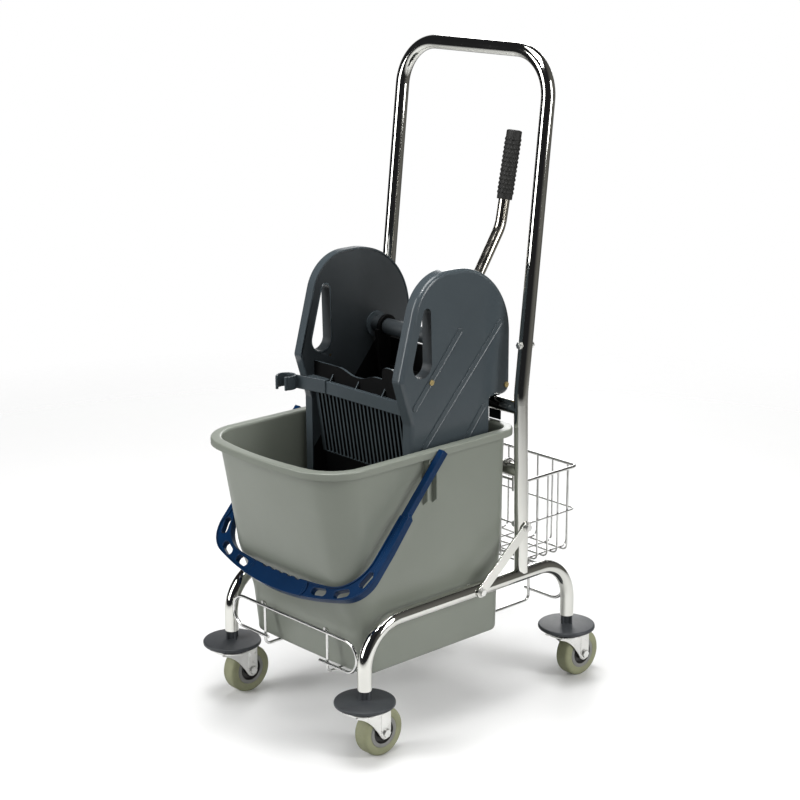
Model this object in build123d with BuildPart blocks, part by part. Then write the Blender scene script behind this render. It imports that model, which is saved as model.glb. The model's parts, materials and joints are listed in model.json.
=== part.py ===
from build123d import *
import os
from math import atan2, cos, degrees, radians, sin, sqrt, tan

os.makedirs("parts", exist_ok=True)

# Single mop bucket trolley, in millimetres.
# The floor is Z = 0, the bucket's front is towards -Y and the push handle is at the +Y end.
# Left is +X, as the person at the push handle sees it.
# Distances along Y are written from the middle between the four castor stems.

# Clearances
weld_gap = 0.05          # between two welded or pressed pieces
run_gap = 0.06           # radial clearance of a turning fit
seat_gap = 0.3           # between a moving piece and what it rests on

# Chromed tube frame
tube_d = 22.0
tube_wall = 1.5
half_track = 161.0
half_wheelbase = 222.0
rail_z = 209.5
rail_bend = 68.0
leg_end_z = 111.5
upright_foot_y = 112.0
upright_foot_lift = 4.5   # foot cut level above the rail's axis
upright_bend_y = 105.5
upright_bend_z = 505.0
upright_bend_r = 200.0
joint_z = 565.0
spigot_len = 48.0
neck_len = 6.0
handle_top_y = 162.4
handle_top_z = 1027.3
handle_bend = 71.0
upper_bar_z = 484.5
lower_bar_z = 381.5

# Braces and fasteners
brace_w = 18.0
brace_t = 3.0
brace_low_y = 10.0
brace_high_z = 292.0
bolt_d = 6.0
bolt_head_w = 10.0
bolt_head_h = 4.0
nut_h = 5.0
washer_d = 14.0
washer_t = 1.2
bolt_tail = 1.5
handle_bolt_up = 20.0

# Bucket cradle of bent wire
cradle_wire_d = 5.0
cradle_y = 226.0
cradle_top_z = 180.0
cradle_low_z = 130.0
cradle_run_end_x = 62.0
runner_x = 75.0
runner_z = 113.0
runner_bend = 9.0
hook_wrap = 100.0

# Castors
wheel_d = 77.5
tread_w = 25.5
wheel_side_gap = 1.8     # tyre clear of the fork plates
tread_shoulder = 6.0
tyre_bore_d = 48.0
castor_trail = 27.0
disc_d = 93.5
disc_t = 9.0
disc_edge_t = 6.4
disc_edge = 2.8
disc_base_z = 88.5
disc_boss_d = 22.4
disc_core_d = 14.5
disc_rib_t = 3.4
stem_d = 11.0
stem_bend_gap = 2.5      # stem end below the leg's bend
stem_head_d = 18.0
stem_head_h = 3.0
race_d = 38.0
race_bore_d = 16.0
fork_plate_z = 82.0
fork_plate_t = 3.0
fork_t = 2.6
fork_crown_r = 24.5
fork_eye_r = 10.5
axle_d = 8.0
axle_head_w = 12.0
axle_head_h = 4.5
axle_nut_h = 6.0
hub_boss_d = 30.0
hub_face_inset = 2.0

# Bucket
bucket_wall = 3.0
bucket_floor = 3.5
bucket_rail_gap = 11.0    # waist clear of the side rails
bucket_base_draw = 9.0    # base narrower than the waist, each side
bucket_base_front = 182.0
bucket_base_rear = 80.0
bucket_heel_h = 12.0
bucket_heel_draw = 3.0
bucket_heel_front = 197.0
bucket_waist_z = 200.0
bucket_waist_front = 210.0
bucket_shoulder_z = 268.0
bucket_shoulder_swell = 7.5
bucket_shoulder_front = 237.0
bucket_shoulder_rear = 93.0
bucket_top_z = 455.0
bucket_top_swell = 8.5
bucket_top_front = 264.5
bucket_top_rear = 96.5
bucket_top_bow = 19.5
bucket_low_bow = 2.0
bucket_rear = 92.0
bucket_front_r = 48.0
bucket_top_r = 62.0
bucket_rear_r = 23.0
bucket_low_rear_r = 20.0
bucket_base_r = 22.0
rim_flange = 13.5
rim_h = 11.0
rim_t = 3.0
lug_d = 16.0
lug_rib_t = 4.0
lug_rib_h = 60.0
lug_rib_reach = 9.0
lug_rib_pitch = 19.0
lug_rib_back = 4.0

# Carrying bail
bail_pivot_y = -82.0
bail_pivot_z = 437.0
bail_hang = 48.0
bail_t = 10.5
bail_arm_w = 12.0
bail_arm_gap = 1.1       # arm clear of the rim
bail_arm_end = 22.0
bail_peg_d = 9.0
bail_peg_len = 11.5
bail_flare_at = 88.0
bail_flare_step = 6.0
bail_flare_len = 64.0
bail_spread = 20.9        # outside of the U beyond the arms' inner faces
bail_reach = 268.5
bail_bow = 35.0
bail_corner_r = 50.0
bail_inner_reach = 240.5
bail_inner_bow = 14.0
bail_inner_r = 64.0
bail_boss_d = 12.5
window_len = 29.0
window_w = 12.0
window_insets = [(91.0, 247.5, -10.0), (46.5, 237.5, -27.0), (15.5, 205.0, -74.0)]
grip_half_len = 62.0
finger_count = 5
finger_r = 9.0
finger_depth = 2.2
finger_pitch = 19.0
grip_pad = 1.5

# Wringer body
wringer_side_gap = 16.0   # cheek ribs clear of the bucket's inside
cheek_t = 20.0
cheek_wall = 3.5
cheek_edge = 7.5
cheek_top_z = 714.5
cheek_top_front_y = -72.0
cheek_top_r = 72.0
cheek_crown_r = 115.0
cheek_rear_y = 118.0
cheek_seat_z = 501.0
cheek_seat_r = 14.0
cheek_nose_y = -115.0
cheek_nose_z = 558.0
cheek_nose_r = 12.0
body_front_y = -93.0
body_front_z = 488.0
body_rear_y = 75.0
body_base_z = 330.0
body_corner_r = 10.0
liner_t = 3.0
liner_gap = 0.2
slot_top_y = -61.5
slot_top_z = 656.0
slot_top_r = 8.0
slot_low_y = -71.0
slot_low_z = 577.5
slot_low_r = 19.5
slot_wall = 3.0
rib_w = 6.0
rib_h = 1.5
cheek_rib_lines = [((7.0, 619.0), (-86.0, 514.5)), ((93.0, 619.0), (-67.5, 450.0)), ((58.0, 490.0), (-8.0, 413.0))]
screw_places = [(-53.0, 549.0), (108.0, 516.5)]
screw_d = 4.0
screw_head_d = 9.0
screw_head_h = 2.2
panel_t = 4.0
grille_y = -87.0
grille_top_z = 546.0
grille_knee_z = 500.0
grille_lean = 9.0
grille_dip = 8.5
grille_dip_x = -4.0
grille_dip_half_w = 10.0
grille_dip_run = 28.0
grille_wave_r = 40.0
grille_tab_x = 67.0
grille_tab_w = 27.0
grille_tab_h = 19.0
grille_tab_r = 7.0
slit_edge = 6.0
slit_w = 5.4
slit_pitch = 9.0
slit_low_z = 396.0
slit_high_z = 498.0
floor_z = 341.0
drain_d = 7.0
drain_pitch = 22.0
drain_edge = 14.0
back_y = 68.0
back_top_z = 560.0
bar_front_y = -97.0
bar_t = 8.0
bar_low_z = 501.0
bar_h = 20.0
gusset_t = 2.5
gusset_pitch = 60.0
gusset_h = 12.0
hanger_inset = 13.5
hanger_w = 24.0
hanger_t = 3.0
hanger_drop = 44.0
hanger_lip = 32.0

# Lever, axle and press plate
axle_y = 44.0
axle_z = 585.0
axle_tube_d = 26.0
axle_tube_wall = 3.0
axle_seat_depth = 11.0
bush_wall = 2.5
bush_flange_d = 42.0
bush_flange_t = 2.6
bush_depth = 6.0
lever_arm_gap = 18.0
lever_d = 18.0
lever_wall = 1.5
lever_bend_y = 156.8
lever_bend_z = 752.0
lever_bend_r = 60.0
lever_end_y = 185.3
lever_end_z = 895.5
lever_grip_d = 27.0
lever_grip_len = 108.0
lever_grip_cap = 3.5
plate_hang = 6.0
plate_side_gap = 8.0
plate_t = 5.0
plate_near = 66.0
plate_far = 165.0
plate_arm_inset = 18.0
plate_arm_t = 6.0
plate_arm_w = 26.0
plate_ring_wall = 6.0

# Mop-handle clip
clip_out_x = 27.3         # ring's axis beyond the cheek's inner face
clip_y = -122.0
clip_bore_d = 26.0
clip_t = 3.0
clip_h = 22.0
clip_mouth = 72.0
clip_turn = 282.0
clip_tip_r = 2.4
clip_base_len = 40.0      # along the front bar
clip_arm_out_x = 18.0     # arm's end beyond the cheek's inner face
clip_arm_step = 14.4      # arm's end in front of the bar
clip_plate_t = 2.5
clip_slot_len = 12.0
clip_slot_w = 3.0
clip_slot_pitch = 18.0

# Wire basket
basket_inset = 11.0
basket_front_y = 123.5
basket_rear_y = 251.0
basket_rim_z = 358.0
basket_mid_z = 285.0
basket_base_z = 216.0
basket_rim_d = 5.0
basket_wire_d = 3.0
basket_weld = 0.4
basket_corner_r = 10.0
basket_cross_count = 5
basket_long_count = 9
basket_hook_inset = 18.0
basket_hook_d = 5.0
basket_hook_tail = 18.0
basket_hook_wrap = 135.0
basket_end_gap = 13.0

# Worked out from the sizes above
tube_r = tube_d / 2
tube_in_r = tube_r - tube_wall
wheel_r = wheel_d / 2
bucket_waist_half_w = half_track - tube_r - bucket_rail_gap
bucket_base_half_w = bucket_waist_half_w - bucket_base_draw
bucket_heel_half_w = bucket_waist_half_w - bucket_heel_draw
bucket_shoulder_half_w = bucket_waist_half_w + bucket_shoulder_swell
bucket_top_half_w = bucket_waist_half_w + bucket_top_swell
cheek_out = bucket_shoulder_half_w - bucket_wall - wringer_side_gap - rib_h
cheek_in = cheek_out - cheek_t
axle_half_len = cheek_in + axle_seat_depth
hanger_x = cheek_in - hanger_inset
plate_half_w = cheek_in - plate_side_gap
plate_arm_x = plate_half_w - plate_arm_inset
lever_x = plate_arm_x - lever_arm_gap
basket_half_w = half_track - basket_inset
basket_hook_x = basket_half_w - basket_hook_inset
rim_front = bucket_top_front + bucket_top_bow + rim_flange
mid_y = (rim_front - half_wheelbase - castor_trail - wheel_r) / 2
sides = {"left": 1, "right": -1}
corners = {
    "front_left": (1, -1),
    "front_right": (-1, -1),
    "rear_left": (1, 1),
    "rear_right": (-1, 1),
}


# A plane across X, where local x is Y from the castor middle and local y is the height.
def side_plane(x):
    return Plane(origin=(x, mid_y, 0), x_dir=(0, 1, 0), z_dir=(1, 0, 0))


# A plane across Y, facing the front, where local x is X and local y is the height.
def front_plane(y):
    return Plane(origin=(0, mid_y + y, 0), x_dir=(1, 0, 0), z_dir=(0, -1, 0))


# A level plane, where local y is Y from the castor middle.
def level_plane(z):
    return Plane(origin=(0, mid_y, z))


# The upright's axis: its lean above the bend, and its place along Y at a height below it.
lean = atan2(handle_top_y - upright_bend_y, handle_top_z - upright_bend_z)
lean_dir = Vector(0, sin(lean), cos(lean))
lean_out = Vector(0, cos(lean), -sin(lean))
joint_y = upright_bend_y + (joint_z - upright_bend_z) * tan(lean)


def upright_y(z):
    share = (z - rail_z) / (upright_bend_z - rail_z)
    return upright_foot_y + (upright_bend_y - upright_foot_y) * share


upper_bar_y = upright_y(upper_bar_z)
lower_bar_y = upright_y(lower_bar_z)
brace_high_y = upright_y(brace_high_z)
brace_ends = [(brace_low_y, rail_z), (brace_high_y, brace_high_z)]
bolt_r = bolt_d / 2

# Side rails: leg, rail and leg in one bent tube, drilled for the brace
for side, sign in sides.items():
    with BuildPart() as side_rail:
        with BuildLine():
            rail_run = FilletPolyline(
                (sign * half_track, mid_y - half_wheelbase, leg_end_z),
                (sign * half_track, mid_y - half_wheelbase, rail_z),
                (sign * half_track, mid_y + half_wheelbase, rail_z),
                (sign * half_track, mid_y + half_wheelbase, leg_end_z),
                radius=rail_bend,
            )
        with BuildSketch(Plane(origin=rail_run @ 0, z_dir=rail_run % 0)):
            Circle(tube_r)
            Circle(tube_in_r, mode=Mode.SUBTRACT)
        sweep()
        with BuildSketch(side_plane(sign * half_track)):
            with Locations(brace_ends[0]):
                Circle(bolt_r + weld_gap)
        extrude(amount=tube_d, both=True, mode=Mode.SUBTRACT)
    side_rail.part.label = f"side_rail_{side}"
    export_step(side_rail.part, f"parts/side_rail_{side}.step")

# Uprights: coped onto the rails, bent back above the upper crossbar, swaged to a spigot at the top
for side, sign in sides.items():
    joint_point = Vector(sign * half_track, mid_y + joint_y, joint_z)
    with BuildPart() as upright:
        with BuildLine():
            upright_run = FilletPolyline(
                (sign * half_track, mid_y + upright_foot_y, rail_z),
                (sign * half_track, mid_y + upright_bend_y, upright_bend_z),
                joint_point,
                radius=upright_bend_r,
            )
        with BuildSketch(Plane(origin=upright_run @ 0, z_dir=upright_run % 0)):
            Circle(tube_r)
            Circle(tube_in_r, mode=Mode.SUBTRACT)
        sweep()
        with BuildSketch(Plane(origin=joint_point, z_dir=lean_dir)):
            Circle(tube_r)
            Circle(tube_in_r - tube_wall, mode=Mode.SUBTRACT)
        extrude(amount=-neck_len)
        with BuildSketch(Plane(origin=joint_point, z_dir=lean_dir)):
            Circle(tube_in_r - weld_gap)
            Circle(tube_in_r - tube_wall, mode=Mode.SUBTRACT)
        extrude(amount=spigot_len)
        with BuildSketch(front_plane(0)):
            with Locations((sign * half_track, rail_z)):
                Circle(tube_r + weld_gap)
        extrude(amount=half_wheelbase, both=True, mode=Mode.SUBTRACT)
        with BuildSketch(side_plane(sign * half_track)):
            with Locations(brace_ends[1]):
                Circle(bolt_r + weld_gap)
        extrude(amount=tube_d, both=True, mode=Mode.SUBTRACT)
        with BuildSketch(Plane(origin=joint_point + lean_dir * handle_bolt_up, x_dir=(1, 0, 0), z_dir=lean_out)):
            Circle(bolt_r + weld_gap)
        extrude(amount=tube_d, both=True, mode=Mode.SUBTRACT)
        with BuildSketch(level_plane(rail_z + upright_foot_lift)):
            with Locations((sign * half_track, upright_foot_y)):
                Rectangle(2 * tube_d, 2 * tube_d)
        extrude(amount=-2 * tube_d, mode=Mode.SUBTRACT)
    upright.part.label = f"upright_{side}"
    export_step(upright.part, f"parts/upright_{side}.step")

# Push handle: one U-shaped tube over both spigots
bolt_planes = []
for sign in sides.values():
    bolt_point = Vector(sign * half_track, mid_y + joint_y, joint_z) + lean_dir * handle_bolt_up
    bolt_planes.append(Plane(origin=bolt_point, x_dir=(1, 0, 0), z_dir=lean_out))
with BuildPart() as push_handle:
    with BuildLine():
        handle_run = FilletPolyline(
            (-half_track, mid_y + joint_y, joint_z),
            (-half_track, mid_y + handle_top_y, handle_top_z),
            (half_track, mid_y + handle_top_y, handle_top_z),
            (half_track, mid_y + joint_y, joint_z),
            radius=handle_bend,
        )
    with BuildSketch(Plane(origin=handle_run @ 0, z_dir=handle_run % 0)):
        Circle(tube_r)
        Circle(tube_in_r, mode=Mode.SUBTRACT)
    sweep()
    with BuildSketch(*bolt_planes):
        Circle(bolt_r + weld_gap)
    extrude(amount=tube_d, both=True, mode=Mode.SUBTRACT)
push_handle.part.label = "push_handle"
export_step(push_handle.part, "parts/push_handle.step")

# Handle bolts, with their heads behind the tube
with BuildPart() as handle_bolts:
    with BuildSketch(*[plane.offset(-tube_r - nut_h - bolt_tail) for plane in bolt_planes]):
        Circle(bolt_r)
    extrude(amount=tube_d + nut_h + bolt_tail)
    with BuildSketch(*[plane.offset(tube_r) for plane in bolt_planes]):
        RegularPolygon(bolt_head_w / 2, 6, major_radius=False)
    extrude(amount=bolt_head_h)
handle_bolts.part.label = "handle_bolts"
export_step(handle_bolts.part, "parts/handle_bolts.step")

# Crossbars, coped to the uprights at both ends
for name, bar_y, bar_z in (("upper", upper_bar_y, upper_bar_z), ("lower", lower_bar_y, lower_bar_z)):
    with BuildPart() as crossbar:
        with BuildSketch(side_plane(0)):
            with Locations((bar_y, bar_z)):
                Circle(tube_r)
                Circle(tube_in_r, mode=Mode.SUBTRACT)
        extrude(amount=half_track, both=True)
        for sign in sides.values():
            upright_foot = Vector(sign * half_track, mid_y + upright_foot_y, rail_z)
            upright_bend = Vector(sign * half_track, mid_y + upright_bend_y, upright_bend_z)
            with BuildSketch(Plane(origin=upright_foot, z_dir=upright_bend - upright_foot)):
                Circle(tube_r + weld_gap)
            extrude(amount=(upright_bend - upright_foot).length, mode=Mode.SUBTRACT)
    crossbar.part.label = f"{name}_crossbar"
    export_step(crossbar.part, f"parts/{name}_crossbar.step")

# Braces: flat strips on the outside of rail and upright
brace_rise = brace_high_z - rail_z
brace_run = brace_high_y - brace_low_y
brace_mid = ((brace_low_y + brace_high_y) / 2, (rail_z + brace_high_z) / 2)
brace_face = half_track + tube_r + weld_gap
for side, sign in sides.items():
    with BuildPart() as brace:
        with BuildSketch(side_plane(sign * brace_face)):
            with Locations(brace_mid):
                SlotCenterToCenter(
                    sqrt(brace_run**2 + brace_rise**2),
                    brace_w,
                    rotation=degrees(atan2(brace_rise, brace_run)),
                )
            with Locations(*brace_ends):
                Circle(bolt_r + weld_gap, mode=Mode.SUBTRACT)
        extrude(amount=sign * brace_t)
    brace.part.label = f"brace_{side}"
    export_step(brace.part, f"parts/brace_{side}.step")

# Brace bolts with their washers
washer_face = brace_face + brace_t
head_face = washer_face + washer_t
nut_face = half_track - tube_r - weld_gap
with BuildPart() as brace_bolts:
    for sign in sides.values():
        with BuildSketch(side_plane(sign * head_face)):
            with Locations(*brace_ends):
                Circle(bolt_r)
        extrude(amount=-sign * (head_face - nut_face + nut_h + bolt_tail))
        with BuildSketch(side_plane(sign * head_face)):
            with Locations(*brace_ends):
                RegularPolygon(bolt_head_w / 2, 6, major_radius=False)
        extrude(amount=sign * bolt_head_h)
brace_bolts.part.label = "brace_bolts"
export_step(brace_bolts.part, "parts/brace_bolts.step")

with BuildPart() as brace_washers:
    for sign in sides.values():
        with BuildSketch(side_plane(sign * washer_face)):
            with Locations(*brace_ends):
                Circle(washer_d / 2)
                Circle(bolt_r + weld_gap, mode=Mode.SUBTRACT)
        extrude(amount=sign * washer_t)
brace_washers.part.label = "brace_washers"
export_step(brace_washers.part, "parts/brace_washers.step")

# Nuts: two in front of the push handle, four inside the braces
with BuildPart() as frame_nuts:
    for sign in sides.values():
        with BuildSketch(side_plane(sign * nut_face)):
            with Locations(*brace_ends):
                RegularPolygon(bolt_head_w / 2, 6, major_radius=False)
                Circle(bolt_r + weld_gap, mode=Mode.SUBTRACT)
        extrude(amount=-sign * nut_h)
    with BuildSketch(*[plane.offset(-tube_r) for plane in bolt_planes]):
        RegularPolygon(bolt_head_w / 2, 6, major_radius=False)
        Circle(bolt_r + weld_gap, mode=Mode.SUBTRACT)
    extrude(amount=-nut_h)
frame_nuts.part.label = "frame_nuts"
export_step(frame_nuts.part, "parts/frame_nuts.step")

# Cradle loops: a C of wire between the two legs of each end, welded to their inner sides
cradle_r = cradle_wire_d / 2
loop_bend = (cradle_top_z - cradle_low_z) / 2
leg_side_x = half_track - sqrt(tube_r**2 - (cradle_y - half_wheelbase) ** 2)
loop_half_w = leg_side_x - cradle_r - weld_gap
for name, end in (("front", -1), ("rear", 1)):
    with BuildPart() as cradle_loop:
        with BuildLine(front_plane(end * cradle_y)):
            Line((-cradle_run_end_x, cradle_low_z), (-loop_half_w + loop_bend, cradle_low_z))
            ThreePointArc(
                (-loop_half_w + loop_bend, cradle_low_z),
                (-loop_half_w, cradle_low_z + loop_bend),
                (-loop_half_w + loop_bend, cradle_top_z),
            )
            Line((-loop_half_w + loop_bend, cradle_top_z), (loop_half_w - loop_bend, cradle_top_z))
            ThreePointArc(
                (loop_half_w - loop_bend, cradle_top_z),
                (loop_half_w, cradle_low_z + loop_bend),
                (loop_half_w - loop_bend, cradle_low_z),
            )
            Line((loop_half_w - loop_bend, cradle_low_z), (cradle_run_end_x, cradle_low_z))
        with BuildSketch(Plane(origin=(-cradle_run_end_x, mid_y + end * cradle_y, cradle_low_z), z_dir=(-1, 0, 0))):
            Circle(cradle_r)
        sweep()
    cradle_loop.part.label = f"cradle_{name}_loop"
    export_step(cradle_loop.part, f"parts/cradle_{name}_loop.step")

# Cradle runners: behind the loops at each end, hooked over the top wires, and level under the bucket
runner_off = cradle_wire_d + weld_gap
runner_y = cradle_y - runner_off
wrap = radians(hook_wrap)
hook_tip = (cradle_y - runner_off * cos(wrap), cradle_top_z + runner_off * sin(wrap))
hook_mid = (cradle_y - runner_off * cos(wrap / 2), cradle_top_z + runner_off * sin(wrap / 2))
for side, sign in sides.items():
    with BuildPart() as runner:
        with BuildLine(side_plane(sign * runner_x)):
            ThreePointArc((-hook_tip[0], hook_tip[1]), (-hook_mid[0], hook_mid[1]), (-runner_y, cradle_top_z))
            FilletPolyline(
                (-runner_y, cradle_top_z),
                (-runner_y, runner_z),
                (runner_y, runner_z),
                (runner_y, cradle_top_z),
                radius=runner_bend,
            )
            ThreePointArc((runner_y, cradle_top_z), hook_mid, hook_tip)
        tip_dir = (0, sin(wrap), cos(wrap))
        with BuildSketch(Plane(origin=(sign * runner_x, mid_y - hook_tip[0], hook_tip[1]), z_dir=tip_dir)):
            Circle(cradle_r)
        sweep()
    runner.part.label = f"cradle_runner_{side}"
    export_step(runner.part, f"parts/cradle_runner_{side}.step")

# Castor stems, expanding sleeves and swivel races, one at each corner
stem_r = stem_d / 2
stem_top_z = rail_z - rail_bend - stem_bend_gap
disc_top_z = disc_base_z + disc_t
disc_edge_z = disc_base_z + disc_edge_t
disc_dome = ((disc_d + disc_core_d) / 4, disc_top_z - (disc_t - disc_edge_t) / 4)
stem_places = [(sx * half_track, sy * half_wheelbase) for sx, sy in corners.values()]
fork_plate_base_z = fork_plate_z - fork_plate_t
stem_head_z = fork_plate_base_z - seat_gap
with BuildPart() as castor_stems:
    with BuildSketch(level_plane(stem_head_z)):
        with Locations(*stem_places):
            Circle(stem_r)
    extrude(amount=stem_top_z - stem_head_z)
    with BuildSketch(level_plane(stem_head_z)):
        with Locations(*stem_places):
            Circle(stem_head_d / 2)
    extrude(amount=-stem_head_h)
castor_stems.part.label = "castor_stems"
export_step(castor_stems.part, "parts/castor_stems.step")

with BuildPart() as leg_sleeves:
    with BuildSketch(level_plane(leg_end_z)):
        with Locations(*stem_places):
            Circle(tube_in_r - weld_gap)
            Circle(stem_r + weld_gap, mode=Mode.SUBTRACT)
    extrude(amount=stem_top_z - leg_end_z)
leg_sleeves.part.label = "leg_sleeves"
export_step(leg_sleeves.part, "parts/leg_sleeves.step")

with BuildPart() as swivel_races:
    with BuildSketch(level_plane(fork_plate_z + seat_gap)):
        with Locations(*stem_places):
            Circle(race_d / 2)
            Circle(race_bore_d / 2, mode=Mode.SUBTRACT)
    extrude(amount=disc_base_z - fork_plate_z - seat_gap)
swivel_races.part.label = "swivel_races"
export_step(swivel_races.part, "parts/swivel_races.step")

# Bumper discs, forks, axles, hubs and tyres
fork_half_w = tread_w / 2 + wheel_side_gap + fork_t
fork_in_half_w = fork_half_w - fork_t
hub_half_w = fork_in_half_w - seat_gap
axle_r = axle_d / 2
for corner, (sx, sy) in corners.items():
    stem_x = sx * half_track
    stem_y = sy * half_wheelbase
    wheel_y = stem_y + castor_trail
    stem_axis = Axis((stem_x, mid_y + stem_y, 0), (0, 0, 1))
    wheel_axis = Axis((stem_x, mid_y + wheel_y, wheel_r), (1, 0, 0))

    # A gently domed disc with a cross-ribbed boss that the leg stands on
    with BuildPart() as bumper_disc:
        with BuildSketch(Plane(origin=stem_axis.position, x_dir=(1, 0, 0), z_dir=(0, -1, 0))) as disc_section:
            with BuildLine():
                Polyline(
                    (disc_core_d / 2, disc_top_z),
                    (disc_core_d / 2, leg_end_z),
                    (stem_r + weld_gap, leg_end_z),
                    (stem_r + weld_gap, disc_base_z),
                    (disc_d / 2, disc_base_z),
                    (disc_d / 2, disc_edge_z),
                )
                ThreePointArc((disc_d / 2, disc_edge_z), disc_dome, (disc_core_d / 2, disc_top_z))
            make_face()
            fillet(disc_section.vertices().group_by(Axis.X)[-1], disc_edge)
        revolve(axis=stem_axis)
        with BuildSketch(level_plane(leg_end_z)):
            with Locations((stem_x, stem_y)):
                Rectangle(disc_boss_d, disc_rib_t)
                Rectangle(disc_rib_t, disc_boss_d)
                Circle(stem_r + weld_gap, mode=Mode.SUBTRACT)
        extrude(amount=disc_base_z - leg_end_z)
    bumper_disc.part.label = f"bumper_disc_{corner}"
    export_step(bumper_disc.part, f"parts/bumper_disc_{corner}.step")

    # A pressed fork, raked back to the axle and open below its crown
    with BuildPart() as fork:
        with BuildSketch(side_plane(stem_x)):
            with Locations((stem_y + (castor_trail + fork_eye_r - fork_crown_r) / 2, fork_plate_z - fork_plate_t)):
                Rectangle(castor_trail + fork_eye_r + fork_crown_r, 2 * fork_plate_t)
            with Locations((wheel_y, wheel_r)):
                Circle(fork_eye_r)
            make_hull()
        extrude(amount=fork_crown_r, both=True)
        with BuildSketch(level_plane(0)):
            with Locations((stem_x, stem_y)):
                Circle(fork_crown_r)
            with Locations((stem_x, stem_y + castor_trail)):
                Rectangle(2 * fork_half_w, 2 * castor_trail)
        extrude(amount=fork_plate_z, mode=Mode.INTERSECT)
        with BuildSketch(level_plane(0)):
            with Locations((stem_x, stem_y)):
                Circle(fork_crown_r - fork_t)
            with Locations((stem_x, stem_y + castor_trail)):
                Rectangle(2 * fork_in_half_w, 2 * castor_trail)
        extrude(amount=fork_plate_base_z, mode=Mode.SUBTRACT)
        with BuildSketch(level_plane(fork_plate_z)):
            with Locations((stem_x, stem_y)):
                Circle(stem_r + run_gap)
        extrude(amount=-2 * fork_plate_t, mode=Mode.SUBTRACT)
        with BuildSketch(side_plane(stem_x)):
            with Locations((wheel_y, wheel_r)):
                Circle(axle_r + weld_gap)
        extrude(amount=2 * fork_half_w, both=True, mode=Mode.SUBTRACT)
    fork.part.label = f"fork_{corner}"
    export_step(fork.part, f"parts/fork_{corner}.step")

    # The axle bolt through both fork plates, with its nut
    with BuildPart() as axle:
        with BuildSketch(side_plane(stem_x + fork_half_w)):
            with Locations((wheel_y, wheel_r)):
                Circle(axle_r)
        extrude(amount=-2 * fork_half_w - axle_nut_h - bolt_tail)
        with BuildSketch(side_plane(stem_x + fork_half_w)):
            with Locations((wheel_y, wheel_r)):
                RegularPolygon(axle_head_w / 2, 6, major_radius=False)
        extrude(amount=axle_head_h)
        with BuildSketch(side_plane(stem_x - fork_half_w)):
            with Locations((wheel_y, wheel_r)):
                RegularPolygon(axle_head_w / 2, 6, major_radius=False)
                Circle(axle_r + weld_gap, mode=Mode.SUBTRACT)
        extrude(amount=-axle_nut_h)
    axle.part.label = f"axle_{corner}"
    export_step(axle.part, f"parts/axle_{corner}.step")

    # The wheel's moulded hub, with bosses that reach the fork plates
    with BuildPart() as hub:
        with BuildSketch(side_plane(stem_x)):
            with Locations((wheel_y, wheel_r)):
                Circle(tyre_bore_d / 2 - weld_gap)
        extrude(amount=tread_w / 2 - hub_face_inset, both=True)
        with BuildSketch(side_plane(stem_x)):
            with Locations((wheel_y, wheel_r)):
                Circle(hub_boss_d / 2)
        extrude(amount=hub_half_w, both=True)
        with BuildSketch(side_plane(stem_x)):
            with Locations((wheel_y, wheel_r)):
                Circle(axle_r + run_gap)
        extrude(amount=2 * hub_half_w, both=True, mode=Mode.SUBTRACT)
    hub.part.label = f"hub_{corner}"
    export_step(hub.part, f"parts/hub_{corner}.step")

    # The tyre, with rounded shoulders
    with BuildPart() as tyre:
        with BuildSketch(Plane(origin=wheel_axis.position, x_dir=(1, 0, 0), z_dir=(0, -1, 0))) as tyre_section:
            with Locations((0, (wheel_r + tyre_bore_d / 2) / 2)):
                Rectangle(tread_w, wheel_r - tyre_bore_d / 2)
            fillet(tyre_section.vertices().group_by(Axis.Y)[-1], tread_shoulder)
        revolve(axis=wheel_axis)
    tyre.part.label = f"tyre_{corner}"
    export_step(tyre.part, f"parts/tyre_{corner}.step")


# A level section of the bucket: straight sides and back, a bowed front, rounded corners
def bucket_section(z, half_w, front, rear, bow, front_r, rear_r):
    with BuildSketch(level_plane(z)) as section:
        with BuildLine():
            ThreePointArc((-half_w, -front), (0, -front - bow), (half_w, -front))
            Polyline((half_w, -front), (half_w, rear), (-half_w, rear), (-half_w, -front))
        make_face()
        fillet(section.vertices().group_by(Axis.Y)[0], front_r)
        fillet(section.vertices().group_by(Axis.Y)[-1], rear_r)
    return section.sketch


# The bucket's sections from its base to its rim, drawn in by an inset
bucket_base_z = runner_z + cradle_r + weld_gap
heel_z = bucket_base_z + bucket_heel_h
rim_base_z = bucket_top_z - rim_h


def bucket_sections(inset, base_z):
    waist_r = (bucket_base_r + bucket_front_r) / 2 - inset
    base_r = bucket_base_r - inset
    low_bow = bucket_low_bow
    low_back = bucket_rear - inset
    low_back_r = bucket_low_rear_r - inset
    back_r = bucket_rear_r - inset
    return [
        bucket_section(
            base_z,
            bucket_base_half_w - inset,
            bucket_base_front - inset,
            bucket_base_rear - inset,
            low_bow,
            base_r,
            low_back_r,
        ),
        bucket_section(
            heel_z, bucket_heel_half_w - inset, bucket_heel_front - inset, low_back, low_bow, base_r, low_back_r
        ),
        bucket_section(
            bucket_waist_z,
            bucket_waist_half_w - inset,
            bucket_waist_front - inset,
            low_back,
            low_bow,
            waist_r,
            (low_back_r + back_r) / 2,
        ),
        bucket_section(
            bucket_shoulder_z,
            bucket_shoulder_half_w - inset,
            bucket_shoulder_front - inset,
            bucket_shoulder_rear - inset,
            low_bow,
            bucket_front_r - inset,
            back_r,
        ),
        top_section(rim_base_z, -inset),
    ]


# The top section, let out by a distance
def top_section(z, grow):
    return bucket_section(
        z,
        bucket_top_half_w + grow,
        bucket_top_front + grow,
        bucket_top_rear + grow,
        bucket_top_bow,
        bucket_top_r + grow,
        bucket_rear_r + grow,
    )


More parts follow.
